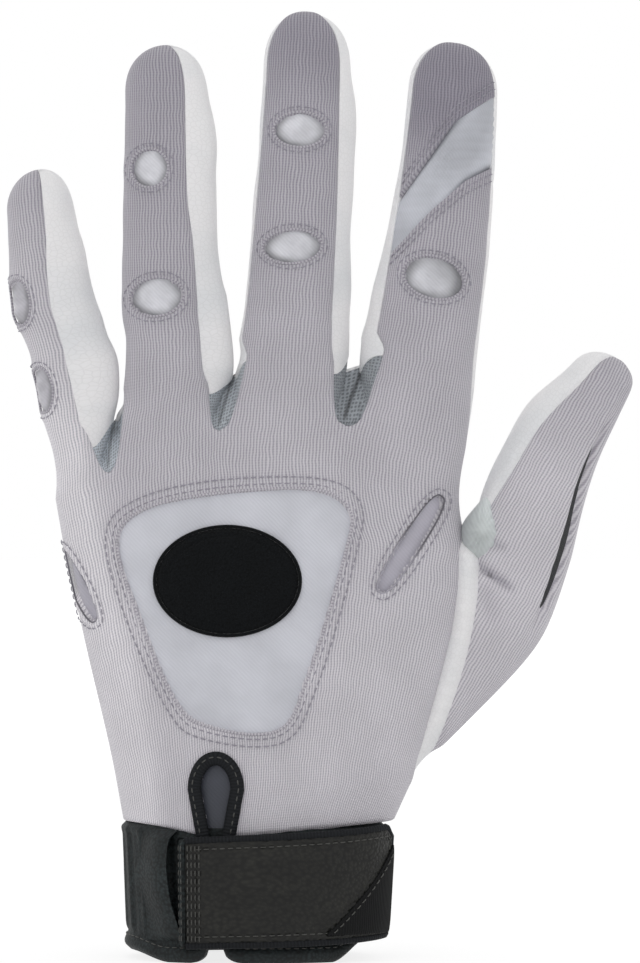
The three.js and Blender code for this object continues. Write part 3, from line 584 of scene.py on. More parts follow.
def joined(parts):
    """Several point, face and map sets as one."""
    start = np.cumsum([0] + [len(p[0]) for p in parts])
    faces = [f + shift for p, shift in zip(parts, start) for f in p[1]]
    return np.concatenate([p[0] for p in parts]), faces, np.concatenate([p[2] for p in parts])


# Openings and patches on the back. An outline is a centre and a closed line in the drawing plane.
def oval_outline(cut, grow=0.0, power=1.0):
    """Outline of a turned ellipse. A power below 1 fills its ends out to those of a slot."""
    x, y, wide, high, turn = cut
    a = np.linspace(0, 2 * pi, 96, endpoint=False)
    c, s = math.cos(math.radians(turn)), math.sin(math.radians(turn))
    u, v = (wide + grow) * power_cos(a, power), (high + grow) * power_sin(a, power)
    return np.array([x, y], float), stacked(x + u * c - v * s, y + u * s + v * c)


def window_outline(grow=0.0):
    """Smooth cubic outline through the window's corners, moved away from their mean."""
    corners = np.array(WINDOW, float)
    centre = corners.mean(0)
    away = corners - centre
    corners = centre + away * (1 + grow / norm(away, axis=1, keepdims=True))
    at = np.linspace(0, len(corners), 240, endpoint=False)
    i, t = at.astype(int), (at % 1)[:, None]
    p, q, r, w = (corners[(i + k) % len(corners)] for k in (-1, 0, 1, 2))
    line = q + (r - p) / 2 * t + (p - 2.5 * q + 2 * r - w / 2) * t ** 2
    return centre, line + (1.5 * (q - r) + (w - p) / 2) * t ** 3


def drop_outline(grow=0.0):
    """Outline of the keyhole from its foot up one side, over a half ellipse and down the other."""
    centre = np.array(KEYHOLE["centre"], float)
    wide, high, slit = (KEYHOLE[key] + grow for key in ("wide", "high", "slit"))
    a = np.linspace(pi, 0, 40)
    t = np.linspace(0, 1, 20, endpoint=False)
    left = stacked(mix(-slit, -wide, t), mix(KEYHOLE["foot"], 0, t))
    over_top = stacked(wide * np.cos(a), high * np.sin(a))
    return centre, centre + np.concatenate([left, over_top, left[::-1] * [-1, 1]])


def outline_reach(outline, away):
    """Distance from an outline's centre to its line, in the directions of vectors."""
    centre, line = outline
    turn = np.arctan2(*(line - centre).T[::-1])
    order = np.argsort(turn)
    reach = norm(line - centre, axis=1)
    return np.interp(np.arctan2(away[..., 1], away[..., 0]), turn[order], reach[order], period=2 * pi)


def gap_to(points, outline):
    """Distance of points, measured away from the outline's centre: below 0 inside it."""
    away = points[..., :2] - outline[0]
    return norm(away, axis=-1) - outline_reach(outline, away)


def over(place, flat, height=0.0):
    """Points of the back over points of the drawing plane, raised along the normal by a height, and the
    normals: steps on two parameters by measured slopes. Beyond a digit's edge a point goes on round it."""
    digit = DIGITS.get(place)
    if digit is None:
        left, right = spline(HAND_LEFT, flat[..., 1]), spline(HAND_RIGHT, flat[..., 1])
        a, b = (flat[..., 0] - left) / (right - left), (flat[..., 1] - CUFF_HEIGHT) / 90
        limit, stride = ((0.0005, 0.9995), (-0.06, 1.0)), 0.08
    else:
        away = np.array(digit["tip"]) - digit["root"]
        a, b = np.zeros(flat.shape[:-1]), ((flat - digit["root"]) @ away) / (away @ away)
        limit, stride = ((-1.6, 1.6), (0.0, 0.86)), 0.4

    def plane(u, v):
        if digit is None:
            return hand_point(u, v, 1)[..., :2]
        centre, half = digit_frame(digit, v)
        return centre + half * u[..., None]

    def area(p, q):
        return p[..., 0] * q[..., 1] - p[..., 1] * q[..., 0]

    h = 1e-4
    for _ in range(16):
        a, b = np.clip(a, *limit[0]), np.clip(b, *limit[1])
        here = plane(a, b)
        slope_a, slope_b = (plane(a + h, b) - here) / h, (plane(a, b + h) - here) / h
        miss = flat - here
        size = area(slope_a, slope_b)
        size = np.where(np.abs(size) < 1e-6, 1e-6, size)
        a = a + np.clip(area(miss, slope_b) / size, -stride, stride)
        b = b + np.clip(area(slope_a, miss) / size, -stride, stride)
    a, b = np.clip(a, *limit[0]), np.clip(b, *limit[1])
    if digit is None:
        here = hand_point(a, b, 1)
        up = np.cross(hand_point(a + h, b, 1) - here, hand_point(a, b + h, 1) - here)
    else:
        edge = np.arccos(np.clip(np.sign(a) * np.abs(a) ** (SECTION_ROUND / 2), -1, 1))
        angle = edge - np.sign(a) * 1.2 * np.maximum(0, np.abs(a) - 1)
        here = digit_point(digit, angle, b)
        up = np.cross(digit_point(digit, angle, b + h) - here, digit_point(digit, angle + h, b) - here)
    up = unit(up)
    return here + up * np.asarray(height)[..., None], up


def patch(place, outline, height, steps, wall=INSERT_WALL):
    """Cloth patch on the back inside an outline: a disc with each radius stretched to the outline.
    height is a function of the plane points and of the share of the way out."""
    out = np.stack(round_grid(steps, steps), -1)
    flat = outline[0] + out * outline_reach(outline, out)[..., None]
    top, up = over(place, flat, height(flat, np.hypot(out[..., 0], out[..., 1])))
    return shell(top, top - up * wall, flat)


def dip(points, outlines, depth=0.9, soft=0.5, welt=0.0):
    """How far the cloth sinks inside outlines, with a raised welt of that height just outside."""
    total = np.zeros(points.shape[:-1])
    for outline in outlines:
        gap = gap_to(points, outline)
        total += depth * (1 - smooth((gap + soft) / (2 * soft))) - welt * bell(gap, 1.3, 0.9)
    return total


def creases(points, lines):
    """Depth of grooves along straight lines of the drawing plane, fading out at both ends. A line is
    its two ends, its depth and its width."""
    total = 0
    for start, end, depth, width in lines:
        line = np.array(end, float) - start
        share = ((points[..., :2] - start) @ line) / (line @ line)
        nearest = start + np.clip(share, 0, 1)[..., None] * line
        gap = norm(points[..., :2] - nearest, axis=-1)
        fade = np.clip(1 - np.abs(2 * np.clip(share, 0, 1) - 1) ** 3, 0, 1)
        total = total + depth * fade * bell(gap, 0, width)
    return total


# Carrying
def bend(piece, place, near, away):
    """Bakes a piece's placement into its mesh. The digit and the two points of the drawing plane, between
    which it would turn from the hand to that digit, are worked out but not used.
    """
    start, end = [((x + SHIFT_X) * MM, SHIFT_Y * MM, y * MM) for x, y in (near, away)]
    place if place == "thumb" else f"{place}_finger"
    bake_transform(piece)
    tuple(start)
    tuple(end)


def carry(piece, place):
    """Ties a piece to the hand or the strap; a digit's piece goes to bend with the middle of the digit's
    root line and a point outwards from it, square to that line."""
    if place not in DIGITS:
        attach(piece, place)
        return
    digit = DIGITS[place]
    line = (digit["right"] - digit["left"]) / math.dist(digit["right"], digit["left"])
    reach = THUMB_REACH if place == "thumb" else BLEND_REACH
    bend(piece, place, digit["root"], digit["root"] + np.array([-line[1], line[0]]) * reach)


# Finishes. Maps are in millimetres, so a pattern's scale is one over its real size.
WAVE_TURN = pi / 10  # a wave texture repeats every pi / 10 of its scaled coordinate
FLAT = {"TexNoise": {"noise_dimensions": "2D"}, "TexVoronoi": {"voronoi_dimensions": "2D"}}


def node(tree, kind, inputs=None, **settings):
    """Adds a node, sets its properties, gives each input a value or another node's output, and
    returns its main output: its factor, or else the first output that is in use."""
    made = tree.nodes.new("ShaderNode" + kind)
    for key, value in {**FLAT.get(kind, {}), **settings}.items():
        setattr(made, key, value)
    for key, value in (inputs or {}).items():
        if isinstance(value, bpy.types.NodeSocket):
            tree.links.new(value, made.inputs[key])
        else:
            made.inputs[key].default_value = value
    return made.outputs.get("Fac") or next((out for out in made.outputs if out.enabled), None)


def blank(name):
    """New material with an empty node tree, what adds nodes to it, and its piece's map."""
    material = bpy.data.materials.new(name)
    material.use_nodes = True
    material.node_tree.nodes.clear()
    add = partial(node, material.node_tree)
    return material, add, add("UVMap")


def surfaced(material, colour, tone, height, strength, reach, **sockets):
    """Ends a material: a colour scaled by a tone, a bump of that height in metres, and the shader
    with its own values."""
    add = partial(node, material.node_tree)
    if tone:
        colour = add("VectorMath", {0: colour, "Scale": tone}, operation="SCALE")
    bump = add("Bump", {"Height": height, "Strength": strength, "Distance": reach})
    named = {key.replace("_", " "): value for key, value in sockets.items()}
    shader = add("BsdfPrincipled", {"Base Color": colour, **named, "Normal": bump})
    add("OutputMaterial", {"Surface": shader})
    return material


def shade(colour, factor):
    """A colour made darker or lighter, kept below white."""
    return (*[min(0.95, c * factor) for c in colour[:3]], 1.0)


def ribbed_knit(name, colour, rubbed):
    # Warp-knitted nylon stretch cloth: matt, with fine ribs that run along the fingers, a soft
    # sheen at grazing angles, and painted shade from the tone attribute: darker up the fingers, towards
    # their tips and in creases, paler towards the hand's outer edge
    material, add, uv = blank(name)
    sizes = millimetres()
    rib = add("TexWave", {"Vector": uv, "Scale": WAVE_TURN / sizes.rib, "Distortion": 4.5, "Detail": 2,
                          "Detail Scale": 0.5}, bands_direction="X")
    course = add("TexWave", {"Vector": uv, "Scale": WAVE_TURN / sizes.course, "Distortion": 2.5,
                             "Detail": 2, "Detail Scale": 1.5}, bands_direction="Y")
    loops = add("Mix", {"Factor": 0.22, "A": rib, "B": course})
    blotch = add("TexNoise", {"Vector": uv, "Scale": 1 / 16, "Detail": 3})
    # The tone attribute is painted shade: it mixes the knit towards rubbed, the colour of the knit in shade
    worn = add("Attribute", attribute_name="tone")
    cloth = add("Mix", {"Factor": worn, "A": colour, "B": rubbed}, data_type="RGBA")
    deep = add("Mix", {"Factor": 1.0, "A": cloth, "B": (0.58, 0.57, 0.61, 1)}, data_type="RGBA",
               blend_type="MULTIPLY")
    crest = add("MapRange", {"Value": loops, "From Min": 0.1, "From Max": 0.75})
    ribbed = add("Mix", {"Factor": crest, "A": deep, "B": cloth}, data_type="RGBA")
    soft = add("MapRange", {"Value": blotch, "To Min": 0.9, "To Max": 1.08})
    return surfaced(material, ribbed, soft, loops, 0.4, 0.00035, Roughness=0.82, Sheen_Weight=0.25,
                    Sheen_Roughness=0.5, Specular_IOR_Level=0.3)


def smooth_leather(name, colour, worn):
    # Tanned sheepskin, dyed white: a fine pore grain with soft creases, a low satin gloss, cool grey
    # patches where it has been handled, and painted shade where it lies deep between the fingers
    material, add, uv = blank(name)
    pore = add("TexVoronoi", {"Vector": uv, "Scale": 1 / millimetres().grain}, feature="DISTANCE_TO_EDGE")
    fold = add("TexNoise", {"Vector": uv, "Scale": 1 / 5, "Detail": 5, "Distortion": 0.6})
    handled = add("TexNoise", {"Vector": uv, "Scale": 1 / 22, "Detail": 3})
    edge = add("MapRange", {"Value": pore, "From Max": 0.12})
    height = add("Mix", {"Factor": 0.6, "A": edge, "B": fold})
    share = add("MapRange", {"Value": handled, "From Min": 0.42, "From Max": 0.7})
    hide = add("Mix", {"Factor": share, "A": colour, "B": worn}, data_type="RGBA")
    pits = add("MapRange", {"Value": edge, "To Min": 0.93, "To Max": 1.0})
    grain = add("VectorMath", {0: hide, "Scale": pits}, operation="SCALE")
    # The tone attribute paints shade with half the handled leather's colour
    painted_shade = add("Attribute", attribute_name="tone")
    grey = add("Mix", {"Factor": painted_shade, "A": grain, "B": shade(worn, 0.5)}, data_type="RGBA")
    gloss = add("MapRange", {"Value": fold, "To Min": 0.4, "To Max": 0.62})
    return surfaced(material, grey, None, height, 0.32, 0.0003, Roughness=gloss, Specular_IOR_Level=0.4)


def stretch_cloth(name, colour, uneven, patch_size=13):
    # Smooth elastane jersey under tension: a tight plain weave that shows as fine lines, short
    # pulled wrinkles, a silky sheen, and painted shade from the tone attribute, darkest in creases where
    # it is tucked under an edge
    material, add, uv = blank(name)
    weave = add("TexWave", {"Vector": uv, "Scale": WAVE_TURN / millimetres().weave, "Distortion": 1.0,
                            "Detail": 1}, bands_direction="DIAGONAL")
    pull = add("TexNoise", {"Vector": uv, "Scale": 1 / 4, "Detail": 3, "Distortion": 0.8})
    wide = add("TexNoise", {"Vector": uv, "Scale": 1 / patch_size, "Detail": 2})
    height = add("Mix", {"Factor": 0.7, "A": weave, "B": pull})
    share = add("MapRange", {"Value": wide, "From Min": 0.35, "From Max": 0.68})
    tone = add("Mix", {"Factor": share, "A": shade(colour, 1 - uneven), "B": shade(colour, 1 + uneven)},
               data_type="RGBA")
    line = add("MapRange", {"Value": weave, "To Min": 0.95, "To Max": 1.02})
    # tucked reads the painted shade of creases, tucked edges and sides turned from the light
    tucked = add("Attribute", attribute_name="tone")
    dark = add("MapRange", {"Value": tucked, "To Min": 1.0, "To Max": 0.3})
    lit = add("Math", {0: line, 1: dark}, operation="MULTIPLY")
    return surfaced(material, tone, lit, height, 0.3, 0.0003, Roughness=0.5, Sheen_Weight=0.3,
                    Sheen_Roughness=0.35)


def open_mesh(name, colour, lightness=1.0):
    # Polyester spacer mesh: a net of round holes with a darker backing that shows through them, and
    # painted shade from the tone attribute: dark folds where it is pushed together
    material, add, uv = blank(name)
    colour = shade(colour, lightness)
    net = add("TexVoronoi", {"Vector": uv, "Scale": 1 / millimetres().mesh, "Randomness": 0.25})
    yarn = add("MapRange", {"Value": net, "From Min": 0.22, "From Max": 0.42})
    fuzz = add("TexNoise", {"Vector": uv, "Scale": 1 / 5, "Detail": 2})
    back = add("Mix", {"Factor": yarn, "A": shade(colour, 0.55), "B": colour}, data_type="RGBA")
    worn = add("MapRange", {"Value": fuzz, "To Min": 0.85, "To Max": 1.12})
    painted_fold_shade = add("Attribute", attribute_name="tone")
    dark = add("MapRange", {"Value": painted_fold_shade, "To Min": 1.0, "To Max": 0.12})
    lit = add("Math", {0: worn, 1: dark}, operation="MULTIPLY")
    return surfaced(material, back, lit, yarn, 0.7, 0.0004, Roughness=0.75, Sheen_Weight=0.15)


def pebbled_hide(name, colour, grain, gloss, strength):
    # Coated synthetic leather with an embossed pebble grain: near black, the tops of the grain
    # polished lighter by wear, the valleys dull
    material, add, uv = blank(name)
    pebble = add("TexVoronoi", {"Vector": uv, "Scale": 1 / grain}, feature="SMOOTH_F1")
    wrinkle = add("TexNoise", {"Vector": uv, "Scale": 1 / 6, "Detail": 5, "Distortion": 0.5})
    top = add("MapRange", {"Value": pebble, "From Min": 0.1, "From Max": 0.6, "To Min": 1, "To Max": 0})
    height = add("Mix", {"Factor": 0.35, "A": top, "B": wrinkle})
    rubbed = add("MapRange", {"Value": wrinkle, "From Min": 0.4, "From Max": 0.75, "To Min": 0.8,
                              "To Max": 1.5})
    lit = add("MapRange", {"Value": top, "To Min": 0.4, "To Max": 1.5})
    tone = add("Math", {0: rubbed, 1: lit}, operation="MULTIPLY")
    return surfaced(material, colour[:3], tone, height, strength, 0.0004, Roughness=gloss,
                    Specular_IOR_Level=0.3)


def pile(name, colour, tuft, strength):
    # Cut or looped nylon pile: dead matt, grainy, with a pale rim where the fibres catch the light
    material, add, uv = blank(name)
    tufts = add("TexVoronoi", {"Vector": uv, "Scale": 1 / tuft})
    nap = add("TexNoise", {"Vector": uv, "Scale": 1 / 7, "Detail": 4})
    height = add("Mix", {"Factor": 0.25, "A": tufts, "B": nap})
    tone = add("MapRange", {"Value": height, "From Min": 0.15, "From Max": 0.7, "To Min": 1.5,
                            "To Max": 0.6})
    return surfaced(material, colour[:3], tone, height, strength, 0.0004, Roughness=0.95,
                    Sheen_Weight=0.2, Sheen_Roughness=0.4, Specular_IOR_Level=0.15)


def woven_tape(name, colour, rib, across):
    # Woven polyester tape or elastic: close parallel ribs with a slight thread gloss
    material, add, uv = blank(name)
    warp = add("TexWave", {"Vector": uv, "Scale": WAVE_TURN / rib, "Distortion": 0.8, "Detail": 1},
               bands_direction=across)
    speck = add("TexNoise", {"Vector": uv, "Scale": 1 / 0.8, "Detail": 2})
    height = add("Mix", {"Factor": 0.3, "A": warp, "B": speck})
    tone = add("MapRange", {"Value": height, "To Min": 0.6, "To Max": 1.5})
    return surfaced(material, colour[:3], tone, height, 0.5, 0.0003, Roughness=0.75,
                    Specular_IOR_Level=0.2)


def sewing_thread(name, colour):
    # Twisted polyester sewing thread: satin, with slanting plies along each stitch
    material, add, uv = blank(name)
    ply = add("TexWave", {"Vector": uv, "Scale": WAVE_TURN / 0.5, "Distortion": 0.3},
              bands_direction="DIAGONAL")
    tone = add("MapRange", {"Value": ply, "To Min": 0.75, "To Max": 1.1})
    return surfaced(material, colour[:3], tone, ply, 0.3, 0.0001, Roughness=0.55)


# Each cloth: its slot, its maker, the real material's name and the maker's own values; and the colours
# of those that don't just have one of their own name
CLOTHS = {
    "knit": ("knit_grey", ribbed_knit, "ribbed_nylon_knit"),
    "leather": ("white_leather", smooth_leather, "white_sheepskin_leather"),
    "insert": ("stretch_insert", stretch_cloth, "elastane_jersey", 0.09, 6),
    "band": ("stretch_insert", stretch_cloth, "elastane_band", 0.1),
    "pale_insert": ("stretch_insert", stretch_cloth, "elastane_side_jersey", 0.12, 5),
    "window": ("stretch_insert", stretch_cloth, "elastane_window_cloth", 0.06),
    "gusset": ("mesh_grey", stretch_cloth, "elastane_thumb_gusset", 0.1),
    "slit": ("mesh_grey", stretch_cloth, "elastane_slit_jersey", 0.08),
    "tongue": ("tongue_slate", stretch_cloth, "elastane_tongue", 0.12),
    "mesh": ("mesh_grey", open_mesh, "polyester_spacer_mesh"),
    # The thumb slit's mesh is darkened nearly to black: painted shadow inside the slit
    "thumb_slit": ("mesh_grey", open_mesh, "black_spacer_mesh", 0.035),
    "cuff": ("cuff_black", pebbled_hide, "smooth_synthetic_suede", 0.7, 0.62, 0.25),
    "strap": ("cuff_black", pebbled_hide, "pebbled_synthetic_leather", 0.9, 0.48, 0.8),
    "badge": ("badge_black", pile, "flocked_plush", 0.5, 0.5),
    "hook": ("hook_and_loop", pile, "nylon_hook_tape", 0.9, 0.9),
    "loop": ("hook_and_loop", pile, "nylon_loop_tape", 0.7, 0.8),
    "label": ("label_black", woven_tape, "woven_label_tape", 0.7, "X"),
    "elastic": ("elastic_black", woven_tape, "braided_elastic", 1.1, "Y"),
    "binding": ("cuff_black", woven_tape, "grosgrain_binding", 0.8, "X"),
    "grey_thread": ("knit_grey", sewing_thread, "grey_polyester_thread"),
    "black_thread": ("cuff_black", sewing_thread, "black_polyester_thread"),
}
COLOURS = {"knit": ["knit", "knit_shade"], "leather": ["leather", "leather_worn"],
           "thumb_slit": ["mesh"], "loop": ["hook"]}
FINISHES = {}


def finish(cloth):
    """A cloth's finish, which is made once from the colours and sizes in the panel."""
    if cloth not in FINISHES:
        _, make, name, *values = CLOTHS[cloth]
        colours = [getattr(bpy.context.scene.glove_colours, key) for key in COLOURS.get(cloth, [cloth])]
        FINISHES[cloth] = make(name, *colours, *values)
    return FINISHES[cloth]


def tint(name, description, code):
    return FloatVectorProperty(name=name, description=description, default=linear(code), size=4,
                               min=0, max=1, subtype="COLOR")


def measure(name, description, size):
    return FloatProperty(name=name, description=description, default=size * MM, min=0.05 * MM, max=50 * MM,
                         precision=5, subtype="DISTANCE", unit="LENGTH")


class GloveColours(bpy.types.PropertyGroup):
    """Colours of the glove's cloths, leathers and threads."""

    knit: tint("Knit", "Grey stretch knit of the back", 0xF0EDF1)
    # Colour that painted shade mixes the knit towards: up the fingers, at their tips and in creases
    knit_shade: tint("Worn knit", "Knit where the fingertips have rubbed it", 0x8D8995)
    leather: tint("Leather", "White palm and fourchette leather", 0xF1F0F1)
    leather_worn: tint("Handled leather", "Leather in its greyer patches", 0xE6E7E9)
    insert: tint("Inserts", "Knuckle inserts", 0xD5D5DB)
    band: tint("Band", "Stretch band across the index finger", 0xC3C5CD)
    pale_insert: tint("Side inserts", "Puckered inserts of the little finger", 0xBFBDC4)
    window: tint("Window", "Cloth of the large window in the back", 0xCDCED6)
    gusset: tint("Thumb gusset", "Round gusset between thumb and hand", 0xD2D8D8)
    mesh: tint("Mesh", "Web gussets between the fingers", 0xDAE1E9)
    slit: tint("Slit cloth", "Stretch cloth seen through the narrow slits", 0xB6B3BE)
    cuff: tint("Cuff", "Padded cuff", 0x1A2021)
    strap: tint("Strap", "Closing strap", 0x161613)
    badge: tint("Badge", "Plush oval badge", 0x0C0E10)
    hook: tint("Hook and loop", "Fastening tapes", 0x15161A)
    label: tint("Label", "Plain corner label", 0x0A0B0C)
    elastic: tint("Elastic", "Elastic across the wrist's palm side", 0x1C1F20)
    binding: tint("Binding", "Binding round the keyhole", 0x17191C)
    tongue: tint("Tongue", "Cloth behind the keyhole", 0x3A3D47)
    grey_thread: tint("Grey thread", "Stitching on the knit", 0xA09DA8)
    black_thread: tint("Black thread", "Stitching on the cuff and strap", 0x4C4C49)


class GloveSizes(bpy.types.PropertyGroup):
    """Thread, stitch and texture sizes; their defaults are written in millimetres."""

    rib: measure("Rib", "Spacing of the knit's ribs, drawn coarse enough to show", 0.8)
    course: measure("Course", "Spacing of the knit's cross rows", 0.62)
    grain: measure("Grain", "Width of the leather's grain cells", 1.1)
    weave: measure("Weave", "Spacing of the stretch cloth's lines, drawn coarse", 0.5)
    mesh: measure("Mesh", "Spacing of the mesh's holes", 0.8)
    stitch_pitch: measure("Stitch pitch", "From one stitch to the next", 1.9)
    stitch_length: measure("Stitch length", "Length of one stitch", 1.35)
    thread_radius: measure("Thread radius", "Half the thread's thickness", 0.16)
    rim: measure("Rim", "Radius of the rolled edge round an opening", 0.32)


def millimetres():
    """The panel's sizes in the drawing's millimetres."""
    group = bpy.context.scene.glove_sizes
    return SimpleNamespace(**{key: getattr(group, key) / MM for key in GloveSizes.__annotations__})


# How much painted shade darkens each finger's tip, and from what share of its length; how much painted
# shade greys its side leather along the deep edge; and how much painted shade darkens its knuckle
# inserts on the side that turns away from the light
TIP_SHADE = {"little": 0.1, "ring": 0.05, "middle": 0.17, "index": 0.25}
TIP_FROM = {"little": 0.7, "ring": 0.7, "middle": 0.72, "index": 0.62}
SIDE_SHADE = {"little": 0.05, "ring": 0.22, "middle": 0.22, "index": 0.22}
GLANCE = {"little": 0.1, "ring": 0.08, "middle": 0.04, "index": 0.6}


# Pieces
def groove(s, width):
    """How far a panel's edges turn in towards their seams; s runs across it, width is in mm."""
    return 0.5 * bell(np.minimum(s, 1 - s) * width, 0, 0.9)


def tip_rows(t):
    """Rows along a digit, closer together towards its tip."""
    return 1 - (1 - t) ** 1.8


def knit_tone(uv, tip):
    """Painted shade of the knit from its map: darker up the fingers and where tip nears one, and paler
    towards the hand's outer edge."""
    height = 0.24 + 0.42 * np.clip((uv[:, 1] + 58) / 130, 0, 1)
    paler = (0.6 - 0.35 * smooth((uv[:, 1] - 5) / 40)) * (1 - smooth(uv[:, 2] / (0.2 * ROOT_WIDTH)))
    return np.clip(height - paler + tip, 0, 1)


def turned_edges(u):
    """Map across the hand's back, lengthened at both outer edges as cloth is that turns round them."""
    slack = EDGE_ROUND * (pi / 2 - 1)
    near, far = (EDGE_ROUND * np.arccos(1 - np.clip(d / EDGE_ROUND, 0, 1)) - slack
                 - np.clip(d, 0, EDGE_ROUND) for d in (u, ROOT_WIDTH - u))
    return u + np.where(u < EDGE_ROUND, near, 0) - np.where(ROOT_WIDTH - u < EDGE_ROUND, far, 0)


def knit_map(place, angle, v):
    """Map of a finger's knit: millimetres round the finger, in one run with the hand's back at its
    root, millimetres up from the root, and the flat share of the hand's width."""
    digit = FINGERS[place]
    k = NAMES.index(place)
    share = power_cos(angle, 2 / SECTION_ROUND)
    flat = mix(ROOT_SHARE[k], ROOT_SHARE[k + 1], (1 + share) / 2) * ROOT_WIDTH
    on_back = (angle > 0) & (angle < pi)
    turned = np.where(on_back, np.arcsin(np.clip(share, -1, 1)), pi / 2 - angle)
    half = norm(digit_frame(digit, v)[1], axis=-1) * tip_round(v)
    middle = (ROOT_SHARE[k] + ROOT_SHARE[k + 1]) / 2 * ROOT_WIDTH
    u = mix(turned_edges(flat), middle + half * turned, smooth(v / ROOT_OPEN))
    return stacked(u, v * digit["length"], flat)


def finger_angles(digit, s, v, side):
    """Angle round a digit at share s of its back (side 1) or front (side -1) panel."""
    back_right, back_left, front_right, front_left = seam_angles(digit, v)
    if side > 0:
        return mix(back_left - 1e-5, back_right + 1e-5, s)
    return mix(front_left + 1e-5, front_right + 2 * pi - 1e-5, s)


def digit_wall(digit, angle, v, depth, thick, uv, pole=False):
    """Wall of cloth on a digit, from a depth below its surface inwards."""
    return shell(digit_point(digit, angle, v, depth), digit_point(digit, angle, v, depth + thick), uv, pole)


def finger_knit(place, name, replaced, low, high, rows=120):
    """Knit panel over a finger's back between two shares of its length, which may change across it:
    sunk at its seams and inside its openings, with a welt round each opening and soft ripples. Near
    the root its middle columns keep their places, and the outer ones take up the notches."""
    digit = FINGERS[place]
    s, t = grid(FINGER_COLUMNS, rows)
    whole = np.ndim(high) == 0
    v = mix(low, high, tip_rows(t) if whole else t)
    high_up = v * digit["length"]
    v = v * mix(ROOT_ROWS, 1, np.clip(high_up / 2, 0, 1))
    right, left = seam_angles(digit, v)[:2]
    held = pi * (1 - s) + right * np.clip((s - 0.6) / 0.4, 0, 1)
    held += (left - pi) * np.clip((0.4 - s) / 0.4, 0, 1)
    angle = mix(held, finger_angles(digit, s, v, 1), smooth(high_up / 12))
    base = digit_point(digit, angle, v)
    openings = [oval_outline(cut) for cut in KNUCKLES[place]]
    depth = dip(base, openings, welt=0.35) + groove(s, 24) * smooth(v / SEAM_OPEN)
    depth += 0.12 * ripple(base[..., 0], base[..., 1], 11, NAMES.index(place)) * smooth(v / ROOT_OPEN)
    wall = digit_wall(digit, angle, v, depth, KNIT_WALL, knit_map(place, angle, v), pole=whole)
    uv = wall[2]
    # Painted shade that darkens the knit towards the fingertip
    tip = TIP_SHADE[place] * smooth((uv[:, 1] / digit["length"] - TIP_FROM[place]) / 0.22)
    put(name, wall, "knit", place, replaced, knit_tone(uv, tip))


def band_share(edge):
    """Share of the index finger's length at which its back crosses a line of the drawing plane,
    for each column: halving between the root and the tip."""
    digit = FINGERS["index"]
    s = np.linspace(0, 1, FINGER_COLUMNS + 1)
    low, high = np.full_like(s, 0.2), np.full_like(s, 0.97)
    for _ in range(30):
        v = (low + high) / 2
        at = digit_point(digit, finger_angles(digit, s, v, 1), v)
        above = at[:, 1] > np.interp(at[:, 0], *np.array(edge, float).T)
        low, high = np.where(above, low, v), np.where(above, v, high)
    return (low + high) / 2


class GLOVE_OT_finger_backs(bpy.types.Operator):
    """Knit panels over the backs of the four fingers, in one run of ribs with the hand's back"""

    bl_idname = "glove.finger_backs"
    bl_label = "Finger backs"

    def execute(self, context):
        for place in NAMES[:3]:
            finger_knit(place, f"{place}_knit_back", f"{place}_back", 0.0, 1.0)
        lower, upper = band_share(BAND_LOW), band_share(BAND_TOP)
        finger_knit("index", "index_knit_back", "index_back", 0.0, lower, rows=80)
        finger_knit("index", "index_knit_tip", "index_tip_back", upper, 1.0, rows=50)
        self.band(lower, upper)
        return {"FINISHED"}

    def band(self, lower, upper):
        """Stretch band across the index finger: sunk, with gathers that fade towards both edges."""
        digit = FINGERS["index"]
        s, t = grid(FINGER_COLUMNS, 30)
        v = mix(lower, upper, mix(-0.03, 1.03, t))
        angle = finger_angles(digit, s, v, 1)
        base = digit_point(digit, angle, v)
        gather = np.sin(base[..., 1] * 2 * pi / 2.2 + 1.5 * ripple(base[..., 0], base[..., 1], 9, 2))
        belly = 4 * t * (1 - t)
        tuck = bell(t, 1, 0.1) * (1 - smooth((s - 0.4) / 0.25))
        tuck = tuck + bell(t, 0, 0.08) * smooth((s - 0.45) / 0.2)
        depth = 0.75 - 0.3 * belly + 0.22 * gather * belly * smooth((s - 0.15) / 0.3) + 0.4 * tuck
        wall = digit_wall(digit, angle, v, depth, 0.7, knit_map("index", angle, v))
        # The tone is painted shade: darker where the band tucks under its edges, towards its far side and in
        # its gathers
        away = 0.16 * smooth((s - 0.45) / 0.5) * smooth(t / 0.6) + 0.05 * (1 + gather) * belly
        tone = np.clip(0.95 * tuck + away, 0, 0.95).ravel()
        put("index_band_cloth", wall, "band", "index", "index_stretch_band", np.tile(tone, 2))


